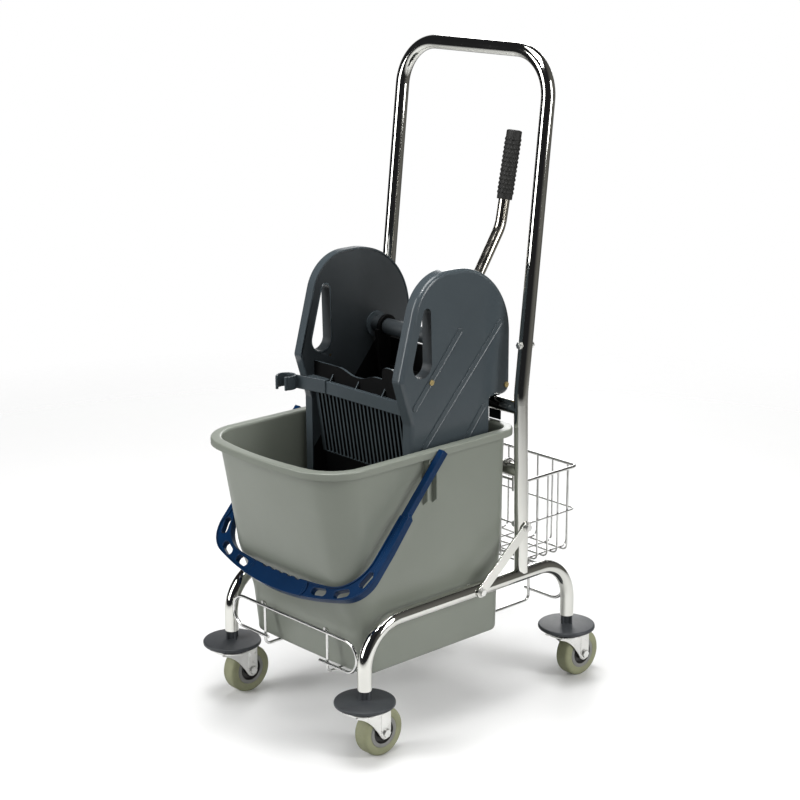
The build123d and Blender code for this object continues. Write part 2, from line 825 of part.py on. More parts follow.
# Bucket: a tapered shell with a turned-down rim, and on each side a pivot lug between two ribs
lug_face = bucket_top_half_w + rim_flange
rib_face = bucket_top_half_w + lug_rib_reach
wall_mid = bucket_top_half_w - bucket_wall / 2
rib_base_z = bail_pivot_z - lug_rib_h
rib_top_z = bucket_top_z - rim_t / 2
peg_r = bail_peg_d / 2
peg_hole_depth = bail_peg_len - bail_arm_gap + seat_gap
rim_lip = top_section(rim_base_z, rim_flange) - top_section(rim_base_z, rim_flange - rim_t)
with BuildPart() as bucket:
    loft(sections=bucket_sections(0, bucket_base_z), ruled=True)
    extrude(top_section(rim_base_z, 0), amount=rim_h)
    extrude(rim_lip, amount=rim_h)
    extrude(top_section(bucket_top_z, rim_flange), amount=-rim_t)
    for sign in sides.values():
        with BuildSketch(side_plane(sign * wall_mid)):
            with Locations((bail_pivot_y, bail_pivot_z)):
                Circle(lug_d / 2)
        extrude(amount=sign * (lug_face - wall_mid))
        with BuildSketch(side_plane(sign * wall_mid)):
            with Locations((bail_pivot_y + lug_rib_back, (rib_base_z + rib_top_z) / 2)):
                with GridLocations(lug_rib_pitch, 0, 2, 1):
                    Rectangle(lug_rib_t, rib_top_z - rib_base_z)
        extrude(amount=sign * (rib_face - wall_mid))
        with BuildSketch(side_plane(sign * lug_face)):
            with Locations((bail_pivot_y, bail_pivot_z)):
                Circle(peg_r + run_gap)
        extrude(amount=-sign * peg_hole_depth, mode=Mode.SUBTRACT)
    loft(sections=bucket_sections(bucket_wall, bucket_base_z + bucket_floor), ruled=True, mode=Mode.SUBTRACT)
    extrude(top_section(rim_base_z, -bucket_wall), amount=rim_h, mode=Mode.SUBTRACT)
bucket.part.label = "bucket"
export_step(bucket.part, "parts/bucket.step")

# The bail's own plane: local x is X and local y runs from the pivots down to the grip
hang = radians(bail_hang)
bail_plane = Plane(
    origin=(0, mid_y + bail_pivot_y, bail_pivot_z), x_dir=(1, 0, 0), z_dir=(0, sin(hang), -cos(hang))
)
bail_arm_in = lug_face + bail_arm_gap
bail_half_w = bail_arm_in + bail_spread
flare_end = bail_flare_at + bail_flare_len


# A U in the bail's plane, closed across its top: straight arms and a bowed, rounded end
def bail_face(half_w, reach, bow, corner_r, top):
    with BuildSketch(bail_plane) as face:
        with BuildLine():
            Polyline((half_w, reach - bow), (half_w, -top), (-half_w, -top), (-half_w, reach - bow))
            ThreePointArc((-half_w, reach - bow), (0, reach), (half_w, reach - bow))
        make_face()
        fillet(face.vertices().group_by(Axis.Y)[-1], corner_r)
    return face.sketch


# Carrying bail: a flat band with windows, a finger grip and two pegs that turn in the lugs
bail_arm_out = bail_arm_in + bail_arm_w
bail_outside = bail_face(bail_half_w, bail_reach, bail_bow, bail_corner_r, bail_arm_end)
bail_inside = bail_face(
    bail_arm_in, bail_inner_reach, bail_inner_bow, bail_inner_r, bail_arm_end + bail_arm_w
)
bail_band = bail_outside - bail_inside
with BuildPart() as bail:
    extrude(bail_band, amount=bail_t / 2, both=True)
    with BuildSketch(bail_plane):
        for sign in sides.values():
            with BuildLine():
                Polyline(
                    (sign * bail_arm_out, -2 * bail_arm_end),
                    (sign * bail_arm_out, bail_flare_at),
                    (sign * (bail_arm_out + bail_flare_step), bail_flare_at + bail_flare_step),
                    (sign * bail_half_w, flare_end),
                    (sign * (bail_half_w + bail_arm_w), flare_end),
                    (sign * (bail_half_w + bail_arm_w), -2 * bail_arm_end),
                    close=True,
                )
            make_face()
    extrude(amount=bail_t, both=True, mode=Mode.SUBTRACT)
    with BuildSketch(bail_plane):
        add(bail_plane.to_local_coords(bail_band))
        with Locations((0, bail_reach)):
            Rectangle(2 * grip_half_len, bail_reach, mode=Mode.INTERSECT)
    extrude(amount=bail_t / 2 + grip_pad, both=True)
    with BuildSketch(bail_plane):
        for inset, reach, turn in window_insets:
            for sign in sides.values():
                with Locations(Location((sign * (bail_half_w - inset), reach, 0), (0, 0, sign * turn))):
                    SlotOverall(window_len, window_w)
        with Locations((0, bail_inner_reach - finger_r + finger_depth)):
            with GridLocations(finger_pitch, 0, finger_count, 1):
                Circle(finger_r)
    extrude(amount=bail_t, both=True, mode=Mode.SUBTRACT)
    for sign in sides.values():
        with BuildSketch(side_plane(sign * bail_arm_in)):
            with Locations((bail_pivot_y, bail_pivot_z)):
                Circle(bail_boss_d / 2)
        extrude(amount=sign * bail_arm_w)
        with BuildSketch(side_plane(sign * (bail_arm_in + bail_arm_w / 2))):
            with Locations((bail_pivot_y, bail_pivot_z)):
                Circle(peg_r)
        extrude(amount=-sign * (bail_peg_len + bail_arm_w / 2))
bail.part.label = "bail"
export_step(bail.part, "parts/bail.step")


# A wringer cheek's outline, drawn in by an inset
def cheek_face(plane, inset):
    with BuildSketch(plane) as face:
        with BuildLine():
            FilletPolyline(
                (cheek_top_front_y, cheek_top_z),
                (cheek_rear_y, cheek_top_z),
                (cheek_rear_y, cheek_seat_z),
                (body_rear_y, cheek_seat_z),
                (body_rear_y, body_base_z),
                (body_front_y, body_base_z),
                (body_front_y, body_front_z),
                (cheek_nose_y, cheek_nose_z),
                radius=[
                    cheek_top_r,
                    cheek_crown_r,
                    cheek_seat_r,
                    body_corner_r / 2,
                    body_corner_r,
                    body_corner_r,
                    2 * body_corner_r,
                    cheek_nose_r,
                ],
                close=True,
            )
        make_face()
        if inset:
            offset(amount=-inset, mode=Mode.REPLACE)
    return face.sketch


# The hand slot near a cheek's front edge, let out by a distance
def slot_face(plane, grow):
    with BuildSketch(plane) as face:
        with Locations((slot_top_y, slot_top_z)):
            Circle(slot_top_r + grow)
        with Locations((slot_low_y, slot_low_z)):
            Circle(slot_low_r + grow)
        make_hull()
    return face.sketch


# Cheeks: a moulded shell open to the inside, closed by a liner panel
axle_tube_r = axle_tube_d / 2
bush_r = axle_tube_r + run_gap + bush_wall
screw_r = screw_d / 2
for side, sign in sides.items():
    inner_plane = side_plane(sign * cheek_in)
    outline = cheek_face(inner_plane, 0)
    hollow = cheek_face(inner_plane, cheek_wall)
    with BuildPart() as cheek_shell:
        extrude(outline, amount=sign * cheek_t)
        fillet(cheek_shell.faces().sort_by(Axis.X)[-1 if sign > 0 else 0].edges(), cheek_edge)
        extrude(hollow, amount=sign * (cheek_t - cheek_wall), mode=Mode.SUBTRACT)
        extrude(slot_face(inner_plane, slot_wall), amount=sign * (cheek_t - cheek_wall / 2))
        extrude(slot_face(inner_plane, 0), amount=sign * cheek_t, mode=Mode.SUBTRACT)
        with BuildSketch(side_plane(sign * (cheek_out - rib_h))):
            for (start_y, start_z), (end_y, end_z) in cheek_rib_lines:
                with Locations(((start_y + end_y) / 2, (start_z + end_z) / 2)):
                    SlotCenterToCenter(
                        sqrt((end_y - start_y) ** 2 + (end_z - start_z) ** 2),
                        rib_w,
                        rotation=degrees(atan2(start_z - end_z, start_y - end_y)),
                    )
        extrude(amount=sign * 2 * rib_h)
        with BuildSketch(side_plane(sign * cheek_out)):
            with Locations(*screw_places):
                Circle(screw_head_d / 2 + seat_gap)
        extrude(amount=sign * 2 * rib_h, mode=Mode.SUBTRACT)
        with BuildSketch(side_plane(sign * cheek_out)):
            with Locations(*screw_places):
                Circle(screw_r + weld_gap)
        extrude(amount=-sign * cheek_t, mode=Mode.SUBTRACT)
    cheek_shell.part.label = f"cheek_shell_{side}"
    export_step(cheek_shell.part, f"parts/cheek_shell_{side}.step")

    panel = cheek_face(inner_plane, cheek_wall + liner_gap)
    with BuildPart() as cheek_liner:
        extrude(panel, amount=sign * liner_t)
        extrude(slot_face(inner_plane, slot_wall + liner_gap), amount=sign * liner_t, mode=Mode.SUBTRACT)
        with BuildSketch(inner_plane):
            with Locations((axle_y, axle_z)):
                Circle(bush_r + weld_gap)
            with Locations(*screw_places):
                Circle(screw_r + weld_gap)
        extrude(amount=sign * liner_t, mode=Mode.SUBTRACT)
    cheek_liner.part.label = f"cheek_liner_{side}"
    export_step(cheek_liner.part, f"parts/cheek_liner_{side}.step")

# Cheek screws, two on each side
with BuildPart() as cheek_screws:
    for sign in sides.values():
        with BuildSketch(side_plane(sign * cheek_out)):
            with Locations(*screw_places):
                Circle(screw_r)
        extrude(amount=-sign * (cheek_t - weld_gap))
        with BuildSketch(side_plane(sign * cheek_out)):
            with Locations(*screw_places):
                Circle(screw_head_d / 2)
        extrude(amount=sign * screw_head_h)
cheek_screws.part.label = "cheek_screws"
export_step(cheek_screws.part, "parts/cheek_screws.step")

# Front bar between the cheeks, with small gussets that back the grille
panel_half_w = cheek_in - weld_gap
bar_top_z = bar_low_z + bar_h
with BuildPart() as front_bar:
    with BuildSketch(front_plane(bar_front_y)):
        with Locations((0, bar_low_z + bar_h / 2)):
            Rectangle(2 * panel_half_w, bar_h)
    extrude(amount=-bar_t)
    for x in (-gusset_pitch, 0, gusset_pitch):
        with BuildSketch(side_plane(x)):
            with BuildLine():
                Polyline(
                    (bar_front_y + bar_t / 4, bar_top_z - gusset_t),
                    (grille_y - weld_gap, bar_top_z - gusset_t),
                    (grille_y - weld_gap, bar_top_z + gusset_h),
                    (bar_front_y + bar_t / 4, bar_top_z),
                    close=True,
                )
            make_face()
        extrude(amount=gusset_t / 2, both=True)
front_bar.part.label = "front_bar"
export_step(front_bar.part, "parts/front_bar.step")

# Front grille: an upright head with a dip along its top edge, over a slit panel that leans back
slit_count = int(2 * (panel_half_w - slit_edge) / slit_pitch)
grille_foot_y = grille_y + (grille_knee_z - floor_z) * tan(radians(grille_lean))
dip_left = grille_dip_x - grille_dip_half_w
dip_right = grille_dip_x + grille_dip_half_w
with BuildPart() as front_grille:
    with BuildSketch(front_plane(grille_y)) as grille_head:
        with BuildLine():
            Polyline(
                (-panel_half_w, grille_knee_z),
                (panel_half_w, grille_knee_z),
                (panel_half_w, grille_top_z),
                (dip_right + grille_dip_run, grille_top_z),
                (dip_right, grille_top_z - grille_dip),
                (dip_left, grille_top_z - grille_dip),
                (dip_left - grille_dip_run, grille_top_z),
                (-panel_half_w, grille_top_z),
                close=True,
            )
        make_face()
        wave = grille_head.vertices().filter_by_position(
            Axis.X, dip_left - grille_dip_run - weld_gap, dip_right + grille_dip_run + weld_gap
        )
        fillet(wave, grille_wave_r)
        with Locations((grille_tab_x, grille_top_z)):
            RectangleRounded(grille_tab_w, 2 * grille_tab_h, grille_tab_r)
    extrude(amount=-panel_t)
    with BuildSketch(side_plane(0)):
        with BuildLine():
            Polyline(
                (grille_y, grille_knee_z),
                (grille_foot_y, floor_z),
                (grille_foot_y + panel_t, floor_z),
                (grille_y + panel_t, grille_knee_z),
                close=True,
            )
        make_face()
    extrude(amount=panel_half_w, both=True)
    with BuildSketch(front_plane(grille_y)):
        with Locations((0, (slit_low_z + slit_high_z) / 2)):
            with GridLocations(slit_pitch, 0, slit_count, 1):
                Rectangle(slit_w, slit_high_z - slit_low_z)
    extrude(amount=-(grille_foot_y + panel_t - grille_y), mode=Mode.SUBTRACT)
front_grille.part.label = "front_grille"
export_step(front_grille.part, "parts/front_grille.step")

# Drain floor and back wall
floor_front_y = grille_foot_y + panel_t + weld_gap
floor_rear_y = back_y - weld_gap
drain_columns = int(2 * (panel_half_w - drain_edge) / drain_pitch) + 1
drain_rows = int((floor_rear_y - floor_front_y - 2 * drain_edge) / drain_pitch) + 1
with BuildPart() as wringer_floor:
    with BuildSketch(level_plane(floor_z)):
        with Locations((0, (floor_front_y + floor_rear_y) / 2)):
            Rectangle(2 * panel_half_w, floor_rear_y - floor_front_y)
            with GridLocations(drain_pitch, drain_pitch, drain_columns, drain_rows):
                Circle(drain_d / 2, mode=Mode.SUBTRACT)
    extrude(amount=panel_t)
wringer_floor.part.label = "wringer_floor"
export_step(wringer_floor.part, "parts/wringer_floor.step")

with BuildPart() as wringer_back:
    with BuildSketch(front_plane(back_y)):
        with Locations((0, (floor_z + back_top_z) / 2)):
            Rectangle(2 * panel_half_w, back_top_z - floor_z)
    extrude(amount=-panel_t)
wringer_back.part.label = "wringer_back"
export_step(wringer_back.part, "parts/wringer_back.step")

# Hanger straps: from the back wall over the upper crossbar
hook_in_r = tube_r + seat_gap
hook_out_r = hook_in_r + hanger_t
strap_y = back_y + panel_t + weld_gap
strap_top_z = upper_bar_z + hook_out_r
hook_turn = cos(radians(45))
with BuildPart() as hanger_straps:
    for sign in sides.values():
        with BuildSketch(side_plane(sign * hanger_x)):
            with BuildLine():
                Polyline(
                    (upper_bar_y, strap_top_z),
                    (strap_y, strap_top_z),
                    (strap_y, strap_top_z - hanger_drop),
                    (strap_y + hanger_t, strap_top_z - hanger_drop),
                    (strap_y + hanger_t, strap_top_z - hanger_t),
                    (upper_bar_y, strap_top_z - hanger_t),
                )
                ThreePointArc(
                    (upper_bar_y, strap_top_z - hanger_t),
                    (upper_bar_y + hook_in_r * hook_turn, upper_bar_z + hook_in_r * hook_turn),
                    (upper_bar_y + hook_in_r, upper_bar_z),
                )
                Polyline(
                    (upper_bar_y + hook_in_r, upper_bar_z),
                    (upper_bar_y + hook_in_r, upper_bar_z - hanger_lip),
                    (upper_bar_y + hook_out_r, upper_bar_z - hanger_lip),
                    (upper_bar_y + hook_out_r, upper_bar_z),
                )
                ThreePointArc(
                    (upper_bar_y + hook_out_r, upper_bar_z),
                    (upper_bar_y + hook_out_r * hook_turn, upper_bar_z + hook_out_r * hook_turn),
                    (upper_bar_y, strap_top_z),
                )
            make_face()
        extrude(amount=hanger_w / 2, both=True)
hanger_straps.part.label = "hanger_straps"
export_step(hanger_straps.part, "parts/hanger_straps.step")

# Lever axle: a tube between the cheeks, turning in two flanged bushes
with BuildPart() as lever_axle:
    with BuildSketch(side_plane(0)):
        with Locations((axle_y, axle_z)):
            Circle(axle_tube_r)
            Circle(axle_tube_r - axle_tube_wall, mode=Mode.SUBTRACT)
    extrude(amount=axle_half_len, both=True)
lever_axle.part.label = "lever_axle"
export_step(lever_axle.part, "parts/lever_axle.step")

with BuildPart() as axle_bushes:
    for sign in sides.values():
        with BuildSketch(side_plane(sign * panel_half_w)):
            with Locations((axle_y, axle_z)):
                Circle(bush_flange_d / 2)
        extrude(amount=-sign * bush_flange_t)
        with BuildSketch(side_plane(sign * panel_half_w)):
            with Locations((axle_y, axle_z)):
                Circle(bush_r)
        extrude(amount=sign * bush_depth)
    with BuildSketch(side_plane(0)):
        with Locations((axle_y, axle_z)):
            Circle(axle_tube_r + run_gap)
    extrude(amount=axle_half_len, both=True, mode=Mode.SUBTRACT)
axle_bushes.part.label = "axle_bushes"
export_step(axle_bushes.part, "parts/axle_bushes.step")

# Lever tube: welded to the axle, bent upwards halfway
lever_foot = Vector(lever_x, mid_y + axle_y, axle_z)
lever_bend = Vector(lever_x, mid_y + lever_bend_y, lever_bend_z)
lever_end = Vector(lever_x, mid_y + lever_end_y, lever_end_z)
with BuildPart() as lever_tube:
    with BuildLine():
        lever_run = FilletPolyline(lever_foot, lever_bend, lever_end, radius=lever_bend_r)
    with BuildSketch(Plane(origin=lever_run @ 0, z_dir=lever_run % 0)):
        Circle(lever_d / 2)
        Circle(lever_d / 2 - lever_wall, mode=Mode.SUBTRACT)
    sweep()
    with BuildSketch(side_plane(lever_x)):
        with Locations((axle_y, axle_z)):
            Circle(axle_tube_r + weld_gap)
    extrude(amount=lever_d, both=True, mode=Mode.SUBTRACT)
lever_tube.part.label = "lever_tube"
export_step(lever_tube.part, "parts/lever_tube.step")

# Lever grip: a closed rubber sleeve pushed over the tube's end
grip_dir = (lever_end - lever_bend).normalized()
grip_plane = Plane(origin=lever_end - grip_dir * (lever_grip_len - lever_grip_cap), z_dir=grip_dir)
with BuildPart() as lever_grip:
    with BuildSketch(grip_plane):
        Circle(lever_grip_d / 2)
    extrude(amount=lever_grip_len)
    fillet(lever_grip.edges().filter_by(GeomType.CIRCLE), lever_grip_cap - weld_gap)
    with BuildSketch(grip_plane):
        Circle(lever_d / 2 + weld_gap)
    extrude(amount=lever_grip_len - lever_grip_cap + weld_gap, mode=Mode.SUBTRACT)
lever_grip.part.label = "lever_grip"
export_step(lever_grip.part, "parts/lever_grip.step")

# Press plate: a ribbed plate that hangs from the axle on two clamped arms
swing = radians(plate_hang)
press_plane = Plane(
    origin=(0, mid_y + axle_y, axle_z), x_dir=(1, 0, 0), z_dir=(0, cos(swing), sin(swing))
)
plate_arm_len = (plate_near + plate_far) / 2
with BuildPart() as press_plate:
    with BuildSketch(press_plane):
        with Locations((0, (plate_near + plate_far) / 2)):
            RectangleRounded(2 * plate_half_w, plate_far - plate_near, 2 * plate_t)
    extrude(amount=plate_t / 2, both=True)
    with BuildSketch(press_plane.offset(plate_t / 2)):
        with Locations((0, plate_arm_len / 2)):
            with GridLocations(2 * plate_arm_x, 0, 2, 1):
                Rectangle(plate_arm_t, plate_arm_len)
    extrude(amount=-plate_arm_w)
    with BuildSketch(side_plane(-plate_arm_x), side_plane(plate_arm_x)):
        with Locations((axle_y, axle_z)):
            Circle(axle_tube_r + plate_ring_wall)
    extrude(amount=plate_arm_t / 2, both=True)
    with BuildSketch(side_plane(0)):
        with Locations((axle_y, axle_z)):
            Circle(axle_tube_r + weld_gap)
    extrude(amount=axle_half_len, both=True, mode=Mode.SUBTRACT)
press_plate.part.label = "press_plate"
export_step(press_plate.part, "parts/press_plate.step")

# Mop-handle clip: an open spring ring on an arm that stands off the front bar, with a flange over the bar
clip_bore_r = clip_bore_d / 2
clip_x = -cheek_in - clip_out_x
clip_low_z = bar_top_z + seat_gap + clip_plate_t - clip_h
clip_mouth_far = clip_bore_d * tan(radians(clip_mouth / 2))
clip_near_x = clip_base_len - cheek_in
clip_far_x = -cheek_in - clip_arm_out_x
clip_near_y = bar_front_y - weld_gap - clip_plate_t
clip_far_y = bar_front_y - clip_arm_step
clip_slant = (clip_far_y - clip_near_y) / (clip_near_x - clip_far_x)
clip_bar_y = clip_near_y + clip_slant * (clip_near_x + panel_half_w)
clip_tip_at = clip_turn - clip_mouth / 2
with BuildPart() as mop_clip:
    with BuildSketch(level_plane(clip_low_z)):
        with Locations((clip_x, clip_y)):
            Circle(clip_bore_r + clip_t)
            Circle(clip_bore_r, mode=Mode.SUBTRACT)
        with Locations(Location((clip_x, clip_y, 0), (0, 0, clip_turn))):
            Polygon(
                (0, 0),
                (clip_bore_d, clip_mouth_far),
                (clip_bore_d, -clip_mouth_far),
                align=None,
                mode=Mode.SUBTRACT,
            )
        with Locations((clip_x, clip_y)):
            with PolarLocations(clip_bore_r + clip_tip_r, 2, clip_tip_at, clip_mouth, endpoint=True):
                Circle(clip_tip_r)
        Polygon(
            (clip_near_x, clip_near_y),
            (clip_near_x, clip_near_y + clip_plate_t),
            (clip_far_x, clip_far_y + clip_plate_t),
            (clip_far_x, clip_far_y),
            align=None,
        )
    extrude(amount=clip_h)
    with BuildSketch(level_plane(bar_top_z + seat_gap)):
        Polygon(
            (clip_near_x, clip_near_y),
            (clip_near_x, bar_front_y + bar_t),
            (-panel_half_w, bar_front_y + bar_t),
            (-panel_half_w, clip_bar_y),
            align=None,
        )
        with Locations(((clip_near_x - panel_half_w) / 2, bar_front_y + bar_t / 2)):
            with GridLocations(clip_slot_pitch, 0, 2, 1):
                SlotOverall(clip_slot_len, clip_slot_w, mode=Mode.SUBTRACT)
    extrude(amount=clip_plate_t)
mop_clip.part.label = "mop_clip"
export_step(mop_clip.part, "parts/mop_clip.step")

# Wire basket: U-shaped wires both ways under a heavier rim, with two hooks over the lower crossbar
wire_r = basket_wire_d / 2
rim_wire_r = basket_rim_d / 2
rim_step = rim_wire_r + wire_r - basket_weld
wire_step = basket_wire_d - basket_weld
cross_half_w = basket_half_w - rim_step
long_front_y = basket_front_y + rim_step
long_rear_y = basket_rear_y - rim_step
cross_pitch = (long_rear_y - long_front_y - 2 * basket_end_gap) / (basket_cross_count - 1)
long_pitch = 2 * (cross_half_w - basket_end_gap) / (basket_long_count - 1)
hook_r = tube_r + basket_hook_d / 2 + seat_gap
hook_end = radians(basket_hook_wrap)
with BuildPart() as wire_basket:
    for index in range(basket_cross_count):
        with BuildLine(front_plane(long_front_y + basket_end_gap + index * cross_pitch)):
            wire_run = FilletPolyline(
                (-cross_half_w, basket_rim_z),
                (-cross_half_w, basket_base_z),
                (cross_half_w, basket_base_z),
                (cross_half_w, basket_rim_z),
                radius=basket_corner_r,
            )
        with BuildSketch(Plane(origin=wire_run @ 0, z_dir=wire_run % 0)):
            Circle(wire_r)
        sweep()
    for index in range(basket_long_count):
        with BuildLine(side_plane(-cross_half_w + basket_end_gap + index * long_pitch)):
            wire_run = FilletPolyline(
                (long_front_y, basket_rim_z),
                (long_front_y, basket_base_z + wire_step),
                (long_rear_y, basket_base_z + wire_step),
                (long_rear_y, basket_rim_z),
                radius=basket_corner_r,
            )
        with BuildSketch(Plane(origin=wire_run @ 0, z_dir=wire_run % 0)):
            Circle(wire_r)
        sweep()
    for ring_z, ring_r, grow in ((basket_rim_z, rim_wire_r, rim_step), (basket_mid_z, wire_r, wire_step)):
        with BuildLine(level_plane(ring_z)):
            ring_run = FilletPolyline(
                (cross_half_w + grow, long_front_y - grow),
                (cross_half_w + grow, long_rear_y + grow),
                (-cross_half_w - grow, long_rear_y + grow),
                (-cross_half_w - grow, long_front_y - grow),
                radius=basket_corner_r,
                close=True,
            )
        with BuildSketch(Plane(origin=ring_run @ 0, z_dir=ring_run % 0)):
            Circle(ring_r)
        sweep()
    for sign in sides.values():
        with BuildLine(side_plane(sign * basket_hook_x)):
            Line((lower_bar_y + hook_r, basket_rim_z - basket_hook_tail), (lower_bar_y + hook_r, lower_bar_z))
            ThreePointArc(
                (lower_bar_y + hook_r, lower_bar_z),
                (lower_bar_y, lower_bar_z + hook_r),
                (lower_bar_y + hook_r * cos(hook_end), lower_bar_z + hook_r * sin(hook_end)),
            )
        with BuildSketch(level_plane(basket_rim_z - basket_hook_tail)):
            with Locations((sign * basket_hook_x, lower_bar_y + hook_r)):
                Circle(basket_hook_d / 2)
        sweep()
wire_basket.part.label = "wire_basket"
export_step(wire_basket.part, "parts/wire_basket.step")
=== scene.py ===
import json
import math
import bpy
import bmesh
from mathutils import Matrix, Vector


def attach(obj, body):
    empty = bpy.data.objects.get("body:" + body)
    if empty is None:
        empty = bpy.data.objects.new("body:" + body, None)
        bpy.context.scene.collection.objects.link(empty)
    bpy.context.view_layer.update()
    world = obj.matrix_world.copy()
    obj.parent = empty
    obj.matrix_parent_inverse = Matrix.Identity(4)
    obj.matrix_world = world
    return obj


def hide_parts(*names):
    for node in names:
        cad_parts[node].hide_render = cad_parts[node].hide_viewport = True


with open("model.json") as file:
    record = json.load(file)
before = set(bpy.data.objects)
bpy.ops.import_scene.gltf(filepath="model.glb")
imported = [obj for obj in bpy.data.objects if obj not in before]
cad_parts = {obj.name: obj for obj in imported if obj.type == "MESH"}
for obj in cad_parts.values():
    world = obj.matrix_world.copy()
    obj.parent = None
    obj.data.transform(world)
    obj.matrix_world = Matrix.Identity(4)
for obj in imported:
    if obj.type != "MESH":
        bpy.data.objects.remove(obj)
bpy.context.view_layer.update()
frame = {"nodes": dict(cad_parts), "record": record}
nodes = frame["nodes"]
print("loaded", len(nodes), "nodes")


# small helpers for node trees
def startMaterial(name, color, roughness, metallic=0.0, specular=0.5):
    mat = bpy.data.materials.new(name)
    mat.use_nodes = True
    tree = mat.node_tree
    shader = tree.nodes["Principled BSDF"]
    shader.inputs["Base Color"].default_value = (*color, 1)
    shader.inputs["Roughness"].default_value = roughness
    shader.inputs["Metallic"].default_value = metallic
    shader.inputs["Specular IOR Level"].default_value = specular
    coords = tree.nodes.new("ShaderNodeTexCoord").outputs["Object"]
    return mat, tree, shader, coords


def stretched(tree, coords, scale):
    mapping = tree.nodes.new("ShaderNodeMapping")
    mapping.inputs["Scale"].default_value = scale
    tree.links.new(coords, mapping.inputs["Vector"])
    return mapping.outputs["Vector"]


def noise(tree, coords, scale, detail=4.0, roughness=0.5):
    tex = tree.nodes.new("ShaderNodeTexNoise")
    tex.inputs["Scale"].default_value = scale
    tex.inputs["Detail"].default_value = detail
    tex.inputs["Roughness"].default_value = roughness
    tree.links.new(coords, tex.inputs["Vector"])
    return tex.outputs["Fac"]


def spread(tree, fac, low, high, fromLow=0.3, fromHigh=0.7):
    node = tree.nodes.new("ShaderNodeMapRange")
    node.inputs["From Min"].default_value = fromLow
    node.inputs["From Max"].default_value = fromHigh
    node.inputs["To Min"].default_value = low
    node.inputs["To Max"].default_value = high
    tree.links.new(fac, node.inputs["Value"])
    return node.outputs["Result"]


def tint(tree, fac, colors):
    ramp = tree.nodes.new("ShaderNodeValToRGB")
    elements = ramp.color_ramp.elements
    while len(elements) < len(colors):
        elements.new(0.5)
    for element, (place, color) in zip(elements, colors):
        element.position = place
        element.color = (*color, 1)
    tree.links.new(fac, ramp.inputs["Fac"])
    return ramp.outputs["Color"]


def bump(tree, shader, height, distance, strength, under=None):
    node = tree.nodes.new("ShaderNodeBump")
    node.inputs["Strength"].default_value = strength
    node.inputs["Distance"].default_value = distance
    tree.links.new(height, node.inputs["Height"])
    if under:
        tree.links.new(under, node.inputs["Normal"])
    tree.links.new(node.outputs["Normal"], shader.inputs["Normal"])
    return node.outputs["Normal"]


def shade(color, factor):
    return tuple(min(1.0, c * factor) for c in color)


# how far wear takes the colour and roughness of every metal and every plastic
metalWear = {"cloud": (0.93, 1.04), "smear": (0.7, 1.6), "lineStrength": 0.5, "pitStrength": 0.4}
plasticWear = {"scuff": (0.94, 1.08), "grainStrength": 0.6, "waveStrength": 0.5}


# bright metal: faint mottling in the plating, fine drawn lines and a few soft smears
def metalFinish(name, look, wear=metalWear):
    color, rough = look["color"], look["roughness"]
    mat, tree, shader, coords = startMaterial(name, color, rough, 1.0)
    cloud = noise(tree, coords, look["cloudScale"], detail=5.0, roughness=0.6)
    dull, bright = wear["cloud"]
    tree.links.new(
        tint(tree, cloud, [(0.3, shade(color, dull)), (0.7, shade(color, bright))]),
        shader.inputs["Base Color"],
    )
    smear = noise(tree, coords, look["smearScale"], detail=6.0, roughness=0.65)
    low, high = wear["smear"]
    tree.links.new(spread(tree, smear, rough * low, rough * high), shader.inputs["Roughness"])
    drawn = stretched(tree, coords, look["lineStretch"])
    lines = noise(tree, drawn, look["lineScale"], detail=3.0)
    under = bump(tree, shader, lines, look["lineDepth"], wear["lineStrength"])
    pits = noise(tree, coords, look["pitScale"], detail=2.0)
    bump(tree, shader, pits, look["pitDepth"], wear["pitStrength"], under)
    return mat


# moulded plastic: slow colour drift, fine grain, soft scuffs
def plasticFinish(name, look, wear=plasticWear):
    color, rough = look["color"], look["roughness"]
    mat, tree, shader, coords = startMaterial(name, color, rough, specular=look.get("specular", 0.5))
    drift = noise(tree, coords, look["driftScale"], detail=4.0, roughness=0.55)
    dull, bright = look["drift"]
    tree.links.new(
        tint(tree, drift, [(0.32, shade(color, dull)), (0.68, shade(color, bright))]),
        shader.inputs["Base Color"],
    )
    rubbed = stretched(tree, coords, look["scuffStretch"])
    scuffs = noise(tree, rubbed, look["scuffScale"], detail=6.0, roughness=0.7)
    low, high = wear["scuff"]
    tree.links.new(spread(tree, scuffs, rough * low, rough * high), shader.inputs["Roughness"])
    grain = noise(tree, coords, look["grainScale"], detail=2.0)
    under = bump(tree, shader, grain, look["grainDepth"], wear["grainStrength"])
    waves = noise(tree, coords, look["waveScale"], detail=2.0)
    bump(tree, shader, waves, look["waveDepth"], wear["waveStrength"], under)
    return mat


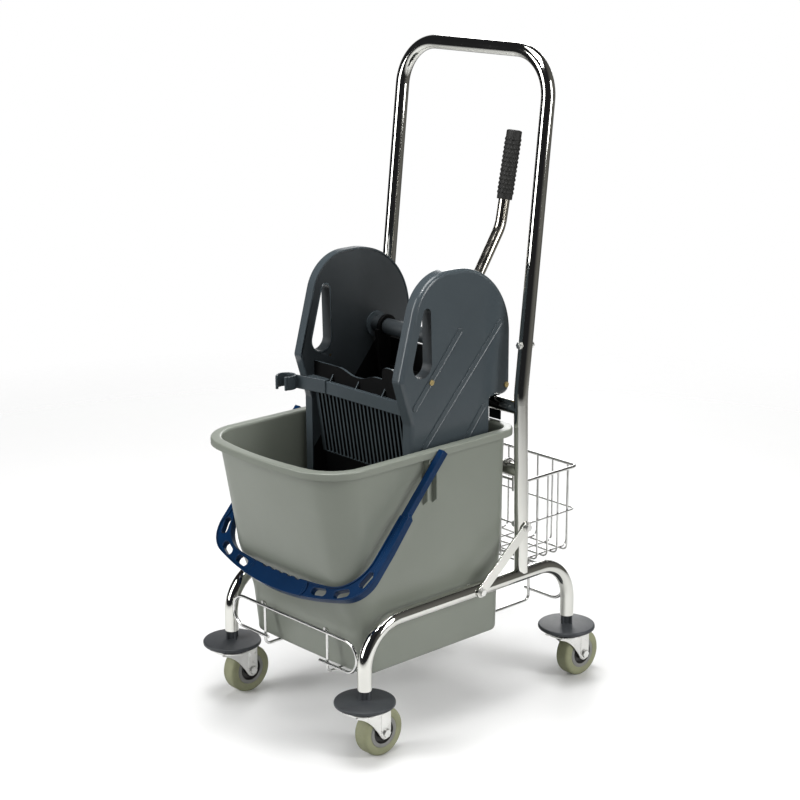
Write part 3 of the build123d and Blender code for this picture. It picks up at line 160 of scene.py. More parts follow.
finishes = {
    "chrome_tube": metalFinish("chromeTube", {
        "color": (0.63, 0.63, 0.595), "roughness": 0.06, "cloudScale": 9, "smearScale": 28,
        "lineStretch": (1, 1, 0.05), "lineScale": 900, "lineDepth": 0.00003,
        "pitScale": 1600, "pitDepth": 0.00002,
    }),
    "chrome_wire": metalFinish("chromeWire", {
        "color": (0.62, 0.62, 0.61), "roughness": 0.17, "cloudScale": 20, "smearScale": 60,
        "lineStretch": (1, 1, 1), "lineScale": 1400, "lineDepth": 0.00003,
        "pitScale": 900, "pitDepth": 0.00003,
    }),
    "zinc_steel": metalFinish("zincSteel", {
        "color": (0.70, 0.70, 0.68), "roughness": 0.30, "cloudScale": 60, "smearScale": 120,
        "lineStretch": (1, 1, 0.2), "lineScale": 1200, "lineDepth": 0.00004,
        "pitScale": 700, "pitDepth": 0.00006,
    }),
    "lever_steel": metalFinish("leverSteel", {
        "color": (0.60, 0.57, 0.50), "roughness": 0.12, "cloudScale": 25, "smearScale": 60,
        "lineStretch": (1, 1, 0.05), "lineScale": 1000, "lineDepth": 0.00004,
        "pitScale": 900, "pitDepth": 0.00003,
    }),
    "screw_brass": metalFinish("screwBrass", {
        "color": (0.60, 0.47, 0.22), "roughness": 0.28, "cloudScale": 300, "smearScale": 500,
        "lineStretch": (1, 1, 1), "lineScale": 2000, "lineDepth": 0.00003,
        "pitScale": 1500, "pitDepth": 0.00003,
    }),
    "bucket_plastic": plasticFinish("bucketPlastic", {
        "color": (0.209, 0.227, 0.193), "roughness": 0.36, "driftScale": 5, "drift": (0.95, 1.04),
        "specular": 0.45,
        "scuffStretch": (1, 1, 0.15), "scuffScale": 70, "grainScale": 1500, "grainDepth": 0.00005,
        "waveScale": 30, "waveDepth": 0.0004,
    }),
    "bail_plastic": plasticFinish("bailPlastic", {
        "color": (0.001, 0.021, 0.072), "roughness": 0.30, "driftScale": 14, "drift": (0.85, 1.15),
        "specular": 0.18,
        "scuffStretch": (0.2, 1, 1), "scuffScale": 90, "grainScale": 1700, "grainDepth": 0.00006,
        "waveScale": 60, "waveDepth": 0.0002,
    }),
    "wringer_plastic": plasticFinish("wringerPlastic", {
        "color": (0.056, 0.070, 0.079), "roughness": 0.22, "driftScale": 8, "drift": (0.94, 1.06),
        "specular": 0.4,
        "scuffStretch": (1, 1, 0.2), "scuffScale": 80, "grainScale": 1500, "grainDepth": 0.00006,
        "waveScale": 40, "waveDepth": 0.0002,
    }),
    "liner_plastic": plasticFinish("linerPlastic", {
        "color": (0.025, 0.031, 0.035), "roughness": 0.42, "driftScale": 10, "drift": (0.85, 1.15),
        "scuffStretch": (1, 0.2, 1), "scuffScale": 90, "grainScale": 1400, "grainDepth": 0.00008,
        "waveScale": 40, "waveDepth": 0.0002,
    }),
    "bumper_plastic": plasticFinish("bumperPlastic", {
        "color": (0.045, 0.049, 0.054), "roughness": 0.45, "driftScale": 25, "drift": (0.88, 1.12),
        "scuffStretch": (1, 1, 1), "scuffScale": 120, "grainScale": 1800, "grainDepth": 0.00006,
        "waveScale": 120, "waveDepth": 0.0001, "specular": 0.3,
    }),
    "tyre_rubber": plasticFinish("tyreRubber", {
        "color": (0.262, 0.270, 0.165), "roughness": 0.62, "driftScale": 40, "drift": (0.9, 1.08),
        "scuffStretch": (0.1, 1, 1), "scuffScale": 150, "grainScale": 1200, "grainDepth": 0.00012,
        "waveScale": 200, "waveDepth": 0.0001,
    }),
    "hub_plastic": plasticFinish("hubPlastic", {
        "color": (0.21, 0.21, 0.20), "roughness": 0.5, "driftScale": 60, "drift": (0.9, 1.1),
        "scuffStretch": (1, 1, 1), "scuffScale": 200, "grainScale": 1500, "grainDepth": 0.00008,
        "waveScale": 200, "waveDepth": 0.0001,
    }),
    "grip_rubber": plasticFinish("gripRubber", {
        "color": (0.011, 0.011, 0.010), "roughness": 0.60, "driftScale": 60, "drift": (0.8, 1.3),
        "specular": 0.35,
        "scuffStretch": (1, 1, 1), "scuffScale": 300, "grainScale": 2500, "grainDepth": 0.00012,
        "waveScale": 300, "waveDepth": 0.0002,
    }),
}

# every node takes the finish of its own slot
for part in frame["record"]["subparts"]:
    mesh = nodes[part["node"]].data
    mesh.materials.clear()
    mesh.materials.append(finishes[part["material_slot"]])
print("finishes", len(finishes))

# small helpers for modelling
mergeGap = 0.00001    # points nearer than this are one point
flatAngle = 0.6       # degrees between faces that count as one flat face
facing = 0.9          # share of its normal along an axis, past which a face looks that way


def clearPick():
    bpy.ops.object.select_all(action="DESELECT")


def activate(piece):
    clearPick()
    piece.select_set(True)
    bpy.context.view_layer.objects.active = piece


def newPiece(name, mesh):
    piece = bpy.data.objects.new(name, mesh)
    bpy.context.scene.collection.objects.link(piece)
    activate(piece)
    return piece


def pick(piece, kind, test):
    bpy.ops.mesh.select_mode(type=kind)
    bpy.ops.mesh.select_all(action="DESELECT")
    shape = bmesh.from_edit_mesh(piece.data)
    for element in {"VERT": shape.verts, "FACE": shape.faces}[kind]:
        if test(element):
            element.select_set(True)
    bmesh.update_edit_mesh(piece.data)


def applyAll(piece):
    activate(piece)
    bpy.ops.object.transform_apply(location=True, rotation=True, scale=True)


def soften(piece, width, segments=2, angle=40):
    activate(piece)
    bevel = piece.modifiers.new("softEdge", "BEVEL")
    bevel.limit_method = "ANGLE"
    bevel.angle_limit = math.radians(angle)
    bevel.width = width
    bevel.segments = segments
    bevel.use_clamp_overlap = False
    bpy.ops.object.modifier_apply(modifier=bevel.name)


def smooth(piece, angle):
    activate(piece)
    bpy.ops.object.shade_smooth_by_angle(angle=math.radians(angle))


# a finished piece rides on its body in the node's place, painted in one finish unless it keeps its own
def dress(piece, body, slot, replaced, finish=None, repaint=True):
    if repaint:
        piece.data.materials.clear()
        piece.data.materials.append(finish or finishes[slot])
    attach(piece, body)
    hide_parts(replaced)


def joinPieces(main, others):
    clearPick()
    for other in others:
        other.select_set(True)
    main.select_set(True)
    bpy.context.view_layer.objects.active = main
    bpy.ops.object.join()
    return main


# shading that keeps the flat faces flat beside their rounded edges
def evenShade(piece, angle=35):
    smooth(piece, angle)
    weigh = piece.modifiers.new("evenShade", "WEIGHTED_NORMAL")
    weigh.keep_sharp = True
    bpy.ops.object.modifier_apply(modifier=weigh.name)


# a copy of a CAD node: merged, its flat faces joined where asked, its edges rounded
def softCopy(nodeName, pieceName, width, segments=2, joinFlats=True, shape=None):
    piece = newPiece(pieceName, nodes[nodeName].data.copy())
    bpy.ops.object.mode_set(mode="EDIT")
    bpy.ops.mesh.select_all(action="SELECT")
    bpy.ops.mesh.remove_doubles(threshold=mergeGap)
    bpy.ops.object.mode_set(mode="OBJECT")
    if shape:
        shape(piece)
    if joinFlats:
        bpy.ops.object.mode_set(mode="EDIT")
        bpy.ops.mesh.select_all(action="SELECT")
        bpy.ops.mesh.dissolve_limited(angle_limit=math.radians(flatAngle))
        bpy.ops.object.mode_set(mode="OBJECT")
    if width:
        soften(piece, width, segments)
    evenShade(piece)
    return piece


# a closed outline of (along axis, radius) turned about an axis that runs along X
def turned(name, profile, middle, steps=72):
    mesh = bpy.data.meshes.new(name)
    points = [(middle[0] + x, middle[1], middle[2] + r) for x, r in profile]
    mesh.from_pydata(points, [(i, (i + 1) % len(points)) for i in range(len(points))], [])
    piece = newPiece(name, mesh)
    bpy.ops.object.mode_set(mode="EDIT")
    bpy.ops.mesh.select_all(action="SELECT")
    bpy.ops.mesh.spin(steps=steps, angle=math.tau, center=middle, axis=(1, 0, 0))
    bpy.ops.mesh.select_all(action="SELECT")
    bpy.ops.mesh.remove_doubles(threshold=mergeGap)
    bpy.ops.mesh.normals_make_consistent(inside=False)
    bpy.ops.object.mode_set(mode="OBJECT")
    return piece


# a flat face through the corners, given a thickness
def slab(name, corners, move):
    mesh = bpy.data.meshes.new(name)
    mesh.from_pydata(corners, [], [list(range(len(corners)))])
    piece = newPiece(name, mesh)
    bpy.ops.object.mode_set(mode="EDIT")
    bpy.ops.mesh.select_all(action="SELECT")
    bpy.ops.mesh.extrude_region_move(TRANSFORM_OT_translate={"value": move})
    bpy.ops.mesh.select_all(action="SELECT")
    bpy.ops.mesh.normals_make_consistent(inside=False)
    bpy.ops.object.mode_set(mode="OBJECT")
    return piece


def copyMoved(piece, name, shift):
    twin = newPiece(name, piece.data.copy())
    twin.location = shift
    applyAll(twin)
    return twin


midY = 0.004875    # the frame's Y of the middle between the castors

# bucket: rings of one outline, bowed at the front, from the base up over the rim and down inside
bucketLook = {
    # height, half width, front, rear, bow, front corner, rear corner
    "levels": [
        (0.12755, 0.1360, 0.1970, 0.0920, 0.0020, 0.022, 0.0200),
        (0.20000, 0.1390, 0.2100, 0.0920, 0.0020, 0.035, 0.0215),
        (0.26800, 0.1465, 0.2370, 0.0930, 0.0020, 0.048, 0.0230),
        (0.44400, 0.1475, 0.2645, 0.0965, 0.0195, 0.062, 0.0230),
    ],
    "wall": 0.003,
    "floor": 0.11905,
    "step": 0.005,
    "blur": 0.013, "blurSteps": 4,
    # let out from the lowest outline, height
    "foot": [
        (-0.0090, 0.11730), (-0.0084, 0.11555), (-0.0072, 0.11555), (-0.0048, 0.11590),
        (-0.0028, 0.11680), (-0.0013, 0.11840), (-0.0004, 0.12080), (0.0, 0.12400),
    ],
    # let out from the top outline, height
    "rim": [
        (0.0002, 0.4450), (0.0007, 0.4480), (0.0020, 0.4494), (0.0046, 0.4500), (0.0086, 0.4501),
        (0.0099, 0.4494), (0.0103, 0.4475), (0.0104, 0.4446), (0.0107, 0.4440), (0.0113, 0.4437),
        (0.0127, 0.4437), (0.0133, 0.4440), (0.0135, 0.4446), (0.0135, 0.4480), (0.0134, 0.4526),
        (0.0132, 0.4535), (0.0127, 0.4543), (0.0119, 0.4548), (0.0108, 0.4550), (0.0060, 0.4552),
        (0.0012, 0.4552), (-0.0004, 0.4549), (-0.0017, 0.4541), (-0.0026, 0.4529), (-0.0030, 0.4512),
        (-0.0030, 0.4488),
    ],
    "floorRound": [(-0.002, 0.003), (-0.007, 0.0)],    # let in from the wall, above the floor
    "leastCorner": 0.004,
    "frontSteps": 14, "cornerSteps": 12, "sideSteps": 20, "rearCornerSteps": 8, "rearSteps": 6,
    "shadeAngle": 40,
    "lug": {"y": -0.082, "z": 0.437, "radius": 0.008, "from": 0.1460, "to": 0.1606, "edge": 0.0008},
    "rib": {"pitch": 0.019, "back": 0.004, "thick": 0.0038, "low": 0.377, "high": 0.450,
            "slope": 0.010, "from": 0.1462, "to": 0.1568, "edge": 0.0007},
}


def bucketOutline(look, size, grow=0.0):
    halfW, front, rear, bow, frontR, rearR = size
    halfW, front, rear = halfW + grow, front + grow, rear + grow
    frontR, rearR = (max(r + grow, look["leastCorner"]) for r in (frontR, rearR))
    bigR = (halfW * halfW + bow * bow) / (2 * bow)
    bigY = -front - bow + bigR
    cornerX = halfW - frontR
    cornerY = bigY - math.sqrt((bigR - frontR) ** 2 - cornerX ** 2)
    lean = math.atan2(cornerY - bigY, cornerX)
    half = []
    for i in range(look["frontSteps"]):
        angle = -math.pi / 2 + (lean + math.pi / 2) * i / look["frontSteps"]
        half.append((bigR * math.cos(angle), bigY + bigR * math.sin(angle)))
    for i in range(look["cornerSteps"]):
        angle = lean * (1 - i / look["cornerSteps"])
        half.append((cornerX + frontR * math.cos(angle), cornerY + frontR * math.sin(angle)))
    sideEnd = rear - rearR
    for i in range(look["sideSteps"]):
        half.append((halfW, cornerY + (sideEnd - cornerY) * i / look["sideSteps"]))
    for i in range(look["rearCornerSteps"]):
        angle = math.pi / 2 * i / look["rearCornerSteps"]
        half.append((halfW - rearR + rearR * math.cos(angle), sideEnd + rearR * math.sin(angle)))
    for i in range(look["rearSteps"] + 1):
        half.append(((halfW - rearR) * (1 - i / look["rearSteps"]), rear))
    return half + [(-x, y) for x, y in reversed(half[1:-1])]


def bucketSize(look, z):
    levels = look["levels"]
    z = min(max(z, levels[0][0]), levels[-1][0])
    for low, high in zip(levels, levels[1:]):
        if z <= high[0]:
            part = (z - low[0]) / (high[0] - low[0])
            return [a + (b - a) * part for a, b in zip(low[1:], high[1:])]


# the mean over a short height, so the sections run softly into each other
def softSize(look, z):
    near = min(look["blur"], z - look["levels"][0][0], look["levels"][-1][0] - z)
    steps = look["blurSteps"]
    samples = [bucketSize(look, z + near * k / steps) for k in range(-steps, steps + 1)]
    return [sum(values) / len(values) for values in zip(*samples)]


# the boss that the bail turns on, with a web on each side that slopes back to the wall
def makeLug(lug, rib, sign):
    bpy.ops.mesh.primitive_cylinder_add(
        vertices=40, radius=lug["radius"], depth=lug["to"] - lug["from"],
        location=(sign * (lug["from"] + lug["to"]) / 2, lug["y"] + midY, lug["z"]),
        rotation=(0, math.pi / 2, 0),
    )
    boss = bpy.context.object
    soften(boss, lug["edge"], angle=50)
    extras = [boss]
    middleX, middleZ = (rib["from"] + rib["to"]) / 2, (rib["low"] + rib["high"]) / 2
    for k in (-0.5, 0.5):
        y = lug["y"] + rib["back"] + k * rib["pitch"] + midY
        bpy.ops.mesh.primitive_cube_add(size=1, location=(sign * middleX, y, middleZ))
        web = bpy.context.object
        web.scale = (rib["to"] - rib["from"], rib["thick"], rib["high"] - rib["low"])
        applyAll(web)
        bpy.ops.object.mode_set(mode="EDIT")
        pick(web, "VERT", lambda v: v.co.z < middleZ and abs(v.co.x) < middleX)
        bpy.ops.transform.translate(value=(0, 0, -rib["slope"]))
        bpy.ops.object.mode_set(mode="OBJECT")
        soften(web, rib["edge"])
        extras.append(web)
    return extras


def makeBucket(look):
    top = look["levels"][-1]
    rings = [(grow, z, look["levels"][0][1:]) for grow, z in look["foot"]]
    z = look["foot"][-1][1] + look["step"]
    while z < top[0] - look["step"] / 2:
        rings.append((0.0, z, softSize(look, z)))
        z += look["step"]
    rings += [(grow, z, top[1:]) for grow, z in look["rim"]]
    z = top[0] - look["step"]
    while z > look["floor"] + 2 * look["step"]:
        rings.append((-look["wall"], z, softSize(look, z)))
        z -= look["step"]
    lowest = softSize(look, z)
    rings += [(grow - look["wall"], look["floor"] + rise, lowest) for grow, rise in look["floorRound"]]
    shape = bmesh.new()
    loops = []
    for grow, z, size in rings:
        loops.append([shape.verts.new((x, y + midY, z)) for x, y in bucketOutline(look, size, grow)])
    count = len(loops[0])
    for low, high in zip(loops, loops[1:]):
        for i in range(count):
            j = (i + 1) % count
            shape.faces.new((low[i], low[j], high[j], high[i]))
    shape.faces.new(list(reversed(loops[0])))
    shape.faces.new(loops[-1])
    mesh = bpy.data.meshes.new("bucketShell")
    shape.to_mesh(mesh)
    shape.free()
    piece = newPiece("bucketShell", mesh)
    joinPieces(piece, [extra for sign in (1, -1) for extra in makeLug(look["lug"], look["rib"], sign)])
    evenShade(piece, look["shadeAngle"])
    dress(piece, "frame", "bucket_plastic", "bucket")


makeBucket(bucketLook)
print("bucket")

# carrying bail: the band, with raised lips along both edges and round ends on its grip
bailLook = {
    "edge": 0.0011, "segments": 3, "shadeAngle": 40,
    "pivot": (0.0, -0.082, 0.437), "hang": 48, "half": 0.00525, "bossReach": 0.0085,
    # half width, reach, bow, corner, lip on the arm, lip round the end, drawn in at the start
    "lips": [
        (0.1830, 0.2685, 0.035, 0.050, 0.0094, 0.0026, 0.0029),
        (0.1621, 0.2405, 0.014, 0.064, -0.0026, -0.0026, 0.0),
    ],
    "start": 0.0948, "straight": 0.152, "armEnd": 0.186, "endStart": 0.204, "stop": 0.0640,
    "rise": 0.0021, "sink": 0.0012, "flush": 0.0003, "lipEdge": 0.0006,
    "runStep": 0.006, "cornerSteps": 12, "endSteps": 8,
    "pad": {"x": 0.0615, "near": 0.2386, "far": 0.2645, "bulge": 0.0060, "rise": 0.0021,
            "lap": 0.001, "steps": 12},
}


def bailPoint(look, x, y, z):
    turn = math.radians(look["hang"])
    px, py, pz = look["pivot"]
    out = y * math.cos(turn) - z * math.sin(turn)
    down = y * math.sin(turn) + z * math.cos(turn)
    return (px + x, py + midY - out, pz - down)


# one edge's line from the arm round to the grip, with the lip's width at each point
def lipLine(look, spec):
    halfW, reach, bow, corner, armLip, endLip, drawn = spec
    bigR = (halfW * halfW + bow * bow) / (2 * bow)
    bigY = reach - bigR
    cornerX = halfW - corner
    cornerY = bigY + math.sqrt((bigR - corner) ** 2 - cornerX ** 2)
    lean = math.atan2(cornerY - bigY, cornerX)
    line = [(halfW - drawn, look["start"], -1, 0), (halfW, look["straight"], -1, 0)]
    run = cornerY - look["straight"]
    steps = max(2, int(run / look["runStep"]))
    for i in range(1, steps + 1):
        line.append((halfW, look["straight"] + run * i / steps, -1, 0))
    for i in range(1, look["cornerSteps"] + 1):
        angle = lean * i / look["cornerSteps"]
        across, along = math.cos(angle), math.sin(angle)
        line.append((cornerX + corner * across, cornerY + corner * along, -across, -along))
    last = math.acos(look["stop"] / bigR)
    for i in range(1, look["endSteps"] + 1):
        angle = lean + (last - lean) * i / look["endSteps"]
        across, along = math.cos(angle), math.sin(angle)
        line.append((bigR * across, bigY + bigR * along, -across, -along))
    lip = []
    for x, y, inX, inY in line:
        part = min(max((y - look["armEnd"]) / (look["endStart"] - look["armEnd"]), 0), 1)
        lip.append((x, y, inX, inY, armLip + (endLip - armLip) * part))
    return lip


def makeLip(look, spec, sign):
    low, high = -look["half"] + look["sink"], -look["half"] - look["rise"]
    shape = bmesh.new()
    rings = []
    for x, y, inX, inY, width in lipLine(look, spec):
        near = math.copysign(look["flush"], width)
        ring = []
        for away, z in ((near, low), (near, high), (width, high), (width, low)):
            ring.append(shape.verts.new(bailPoint(look, sign * (x + inX * away), y + inY * away, z)))
        rings.append(ring)
    for one, two in zip(rings, rings[1:]):
        for i in range(4):
            j = (i + 1) % 4
            shape.faces.new((one[i], one[j], two[j], two[i]))
    shape.faces.new(rings[0])
    shape.faces.new(rings[-1])
    bmesh.ops.recalc_face_normals(shape, faces=shape.faces)
    mesh = bpy.data.meshes.new("bailLip")
    shape.to_mesh(mesh)
    shape.free()
    piece = newPiece("bailLip", mesh)
    soften(piece, look["lipEdge"])
    return piece


def makePadEnd(look, sign):
    pad = look["pad"]
    low, high = -look["half"] + look["sink"], -look["half"] - pad["rise"]
    outline = []
    for i in range(pad["steps"] + 1):
        part = i / pad["steps"]
        outline.append((pad["x"] + pad["bulge"] * math.sin(math.pi * part),
                        pad["near"] + (pad["far"] - pad["near"]) * part))
    outline += [(pad["x"] - pad["lap"], pad["far"]), (pad["x"] - pad["lap"], pad["near"])]
    corners = [bailPoint(look, sign * x, y, low) for x, y in outline]
    rise = Vector(bailPoint(look, 0, 0, high)) - Vector(bailPoint(look, 0, 0, low))
    piece = slab("bailPadEnd", corners, rise)
    soften(piece, look["lipEdge"])
    return piece


# the boss at the pivot is drawn in to the arm's own thickness
def trimBoss(look, piece):
    middle = Vector(bailPoint(look, 0, 0, 0))
    away = (Vector(bailPoint(look, 0, 0, 1)) - middle).normalized()
    for vert in piece.data.vertices:
        offset = vert.co - Vector((vert.co.x, middle.y, middle.z))
        height = offset.dot(away)
        if offset.length < look["bossReach"] and abs(height) > look["half"]:
            vert.co -= away * (height - math.copysign(look["half"], height))


def makeBail(look):
    band = softCopy("bail", "carryBail", look["edge"], look["segments"],
                    shape=lambda piece: trimBoss(look, piece))
    extras = []
    for sign in (1, -1):
        extras += [makeLip(look, spec, sign) for spec in look["lips"]]
        extras.append(makePadEnd(look, sign))
    joinPieces(band, extras)
    evenShade(band, look["shadeAngle"])
    dress(band, "bail", "bail_plastic", "bail")


makeBail(bailLook)
print("bail")

# lever grip: a sleeve with rows of small knobs
gripLook = {
    "end": (0.062, 0.190175, 0.8955), "along": (0.0, 0.194801, 0.980843), "past": 0.0035,
    "length": 0.108, "radius": 0.0121, "edge": 0.0016, "shadeAngle": 50,
    "topInset": (0.3, 0.0012), "lowInset": (0.12, -0.0006),    # share of the radius, depth
    "knob": 0.0021, "knobScale": (0.55, 1.0, 1.15), "around": 14, "rows": 13,
    "firstRow": 0.0115, "pitch": 0.0069,
}


def makeGrip(look):
    bpy.ops.mesh.primitive_cylinder_add(
        vertices=56, radius=look["radius"], depth=look["length"], location=(0, 0, look["length"] / 2)
    )
    sleeve = bpy.context.object
    sleeve.name = "leverGrip"
    applyAll(sleeve)
    bpy.ops.object.mode_set(mode="EDIT")
    for sign, (share, depth) in ((1, look["topInset"]), (-1, look["lowInset"])):
        pick(sleeve, "FACE", lambda f: f.normal.z * sign > facing)
        bpy.ops.mesh.inset(thickness=look["radius"] * share, depth=depth)
    bpy.ops.object.mode_set(mode="OBJECT")
    soften(sleeve, look["edge"], 4)
    knobs = []
    bpy.ops.mesh.primitive_uv_sphere_add(segments=12, ring_count=8, radius=look["knob"])
    first = bpy.context.object
    first.scale = look["knobScale"]
    applyAll(first)
    for row in range(look["rows"]):
        for k in range(look["around"]):
            angle = math.tau * (k + 0.5 * (row % 2)) / look["around"]
            knob = newPiece("knob", first.data.copy())
            knob.rotation_euler = (0, 0, angle)
            knob.location = (
                look["radius"] * math.cos(angle), look["radius"] * math.sin(angle),
                look["firstRow"] + row * look["pitch"],
            )
            knobs.append(knob)
    bpy.data.objects.remove(first)
    joinPieces(sleeve, knobs)
    along = Vector(look["along"])
    foot = Vector(look["end"]) - along * (look["length"] - look["past"])
    sleeve.rotation_euler = along.to_track_quat("Z", "Y").to_euler()
    sleeve.location = foot
    applyAll(sleeve)
    smooth(sleeve, look["shadeAngle"])
    dress(sleeve, "lever", "grip_rubber", "lever_grip")


makeGrip(gripLook)
print("grip")

# castors: one of each piece is made at the front left corner, then copied to the others
castorLook = {
    "corners": {"front_left": (0.161, -0.222), "front_right": (-0.161, -0.222),
                "rear_left": (0.161, 0.222), "rear_right": (-0.161, 0.222)},
    "trail": 0.027, "axleZ": 0.03875, "shadeAngle": 32,
    # outlines of tyre and hub: along the axle, radius
    "tyre": [
        (-0.0117, 0.0240), (-0.0117, 0.0252), (-0.0123, 0.0258), (-0.01275, 0.0270), (-0.01275, 0.0335),
        (-0.0121, 0.0360), (-0.0105, 0.0378), (-0.0085, 0.0386), (-0.0066, 0.03875), (-0.0061, 0.0386),
        (-0.0059, 0.0380), (-0.0057, 0.0386), (-0.0052, 0.03875), (0.0066, 0.03875), (0.0085, 0.0386),
        (0.0105, 0.0378), (0.0121, 0.0360), (0.01275, 0.0335), (0.01275, 0.0270), (0.0123, 0.0258),
        (0.0117, 0.0252), (0.0117, 0.0240),
    ],
    "hub": [
        (-0.01425, 0.0042), (-0.01425, 0.0085), (-0.0125, 0.0100), (-0.0080, 0.0110), (-0.0075, 0.0165),
        (-0.0090, 0.0180), (-0.0121, 0.0188), (-0.0125, 0.0196), (-0.0125, 0.0244), (-0.0119, 0.0250),
        (-0.0112, 0.0250), (-0.0112, 0.0239), (0.0112, 0.0239), (0.0112, 0.0250), (0.0119, 0.0250),
        (0.0125, 0.0244), (0.0125, 0.0196), (0.0121, 0.0188), (0.0090, 0.0180), (0.0075, 0.0165),
        (0.0080, 0.0110), (0.0125, 0.0100), (0.01425, 0.0085), (0.01425, 0.0042),
    ],
    "darkInside": 0.0191,
    # outlines of the fork's side and of the pressed pad on it: behind the stem, height
    "plate": [
        (0.0373, 0.0802), (0.0373, 0.0415), (0.0364, 0.0355), (0.0335, 0.0306), (0.0290, 0.0281),
        (0.0250, 0.0282), (0.0212, 0.0300), (0.0182, 0.0330), (0.0155, 0.0372), (0.0112, 0.0437),
        (0.0060, 0.0508), (0.0000, 0.0581), (-0.0075, 0.0650), (-0.0150, 0.0704), (-0.0225, 0.0744),
        (-0.0290, 0.0768), (-0.0322, 0.0784), (-0.0328, 0.0802),
    ],
    "plateIn": 0.01455, "plateOut": 0.01715, "plateEdge": 0.0008,
    "pad": [
        (0.0368, 0.0790), (0.0368, 0.0420), (0.0352, 0.0350), (0.0315, 0.0300), (0.0270, 0.0286),
        (0.0225, 0.0302), (0.0190, 0.0345), (0.0178, 0.0400), (0.0178, 0.0790),
    ],
    "padSink": 0.0005, "padRise": 0.0009, "padEdge": 0.0007,
    "crownZ": (0.0790, 0.0820), "crownR": 0.0330, "crownRear": 0.0373, "crownEdge": 0.0007,
    "crownCut": 0.0175, "crownTaper": 0.7,    # past the cut the crown narrows to a straight rear edge
    "discEdge": 0.0006, "boltEdge": 0.0005,
}
hubDark = plasticFinish("hubDark", {
    "color": (0.020, 0.019, 0.018), "roughness": 0.5, "driftScale": 60, "drift": (0.8, 1.2),
    "scuffStretch": (1, 1, 1), "scuffScale": 200, "grainScale": 1500, "grainDepth": 0.00008,
    "waveScale": 200, "waveDepth": 0.0001,
})


# a flat outline in the Y-Z plane given a thickness along X
def plate(name, outline, low, high):
    return slab(name, [(low, y, z) for y, z in outline], (high - low, 0, 0))


def makeFork(look):
    parts = []
    for sign in (1, -1):
        low, high = sorted((sign * look["plateIn"], sign * look["plateOut"]))
        side = plate("forkSide", look["plate"], low, high)
        soften(side, look["plateEdge"])
        sunk, risen = look["plateOut"] - look["padSink"], look["plateOut"] + look["padRise"]
        low, high = sorted((sign * sunk, sign * risen))
        pad = plate("forkPad", look["pad"], low, high)
        soften(pad, look["padEdge"], 3)
        parts += [side, pad]
    low, high = look["crownZ"]
    bpy.ops.mesh.primitive_cylinder_add(
        vertices=64, radius=look["crownR"], depth=high - low, location=(0, 0, (low + high) / 2)
    )
    crown = bpy.context.object
    crown.name = "forkCrown"
    applyAll(crown)
    bpy.ops.object.mode_set(mode="EDIT")
    pick(crown, "VERT", lambda v: v.co.y > look["crownCut"])
    bpy.ops.transform.resize(value=(look["crownTaper"], 0, 1), center_override=(0, look["crownRear"], 0))
    bpy.ops.object.mode_set(mode="OBJECT")
    soften(crown, look["crownEdge"])
    return joinPieces(crown, parts)


def makeCastors(look):
    first = look["corners"]["front_left"]
    axle = (first[0], first[1] + midY + look["trail"], look["axleZ"])
    tyre = turned("tyre_first", look["tyre"], axle)
    hub = turned("hub_first", look["hub"], axle)
    fork = makeFork(look)
    fork.name = "fork_first"
    fork.location = (first[0], first[1] + midY, 0)
    applyAll(fork)
    hub.data.materials.append(finishes["hub_plastic"])
    hub.data.materials.append(hubDark)
    for face in hub.data.polygons:
        away = (face.center - Vector(axle)).yz.length
        face.material_index = 1 if away < look["darkInside"] else 0
    for corner, (x, y) in look["corners"].items():
        shift = (x - first[0], y - first[1], 0)
        for source, name, body, slot, node in (
            (tyre, "tyreRound", "wheel", "tyre_rubber", "tyre"),
            (hub, "hubRound", "wheel", "hub_plastic", "hub"),
            (fork, "forkPressed", "castor", "zinc_steel", "fork"),
        ):
            twin = copyMoved(source, f"{name}_{corner}", shift)
            smooth(twin, look["shadeAngle"])
            dress(twin, f"{body}_{corner}", slot, f"{node}_{corner}", repaint=source is not hub)
        disc = softCopy(f"bumper_disc_{corner}", f"bumperSoft_{corner}", look["discEdge"])
        dress(disc, "frame", "bumper_plastic", f"bumper_disc_{corner}")
        bolt = softCopy(f"axle_{corner}", f"axleBolt_{corner}", look["boltEdge"])
        dress(bolt, f"castor_{corner}", "zinc_steel", f"axle_{corner}")
    for spare in (tyre, hub, fork):
        bpy.data.objects.remove(spare)


makeCastors(castorLook)
print("castors")

# wringer and small fittings keep their solids' shapes, with rounded edges
fittingLook = {
    # body, slot, edge width, flat faces joined first
    "cheek_shell_left": ("wringer", "wringer_plastic", 0.0, False),
    "cheek_shell_right": ("wringer", "wringer_plastic", 0.0, False),
    "cheek_liner_left": ("wringer", "liner_plastic", 0.0, False),
    "cheek_liner_right": ("wringer", "liner_plastic", 0.0, False),
    "front_bar": ("wringer", "wringer_plastic", 0.0008, True),
    "front_grille": ("wringer", "wringer_plastic", 0.0, False),
    "mop_clip": ("wringer", "wringer_plastic", 0.0007, True),
    "lever_axle": ("lever", "liner_plastic", 0.0004, True),
    "press_plate": ("lever", "liner_plastic", 0.0008, True),
    "wringer_back": ("wringer", "wringer_plastic", 0.0006, True),
    "wringer_floor": ("wringer", "wringer_plastic", 0.0, False),
    "hanger_straps": ("wringer", "liner_plastic", 0.0005, True),
    "brace_left": ("frame", "chrome_tube", 0.0006, True),
    "brace_right": ("frame", "chrome_tube", 0.0006, True),
    "brace_bolts": ("frame", "zinc_steel", 0.0005, True),
    "handle_bolts": ("frame", "zinc_steel", 0.0005, True),
    "frame_nuts": ("frame", "zinc_steel", 0.0004, True),
}
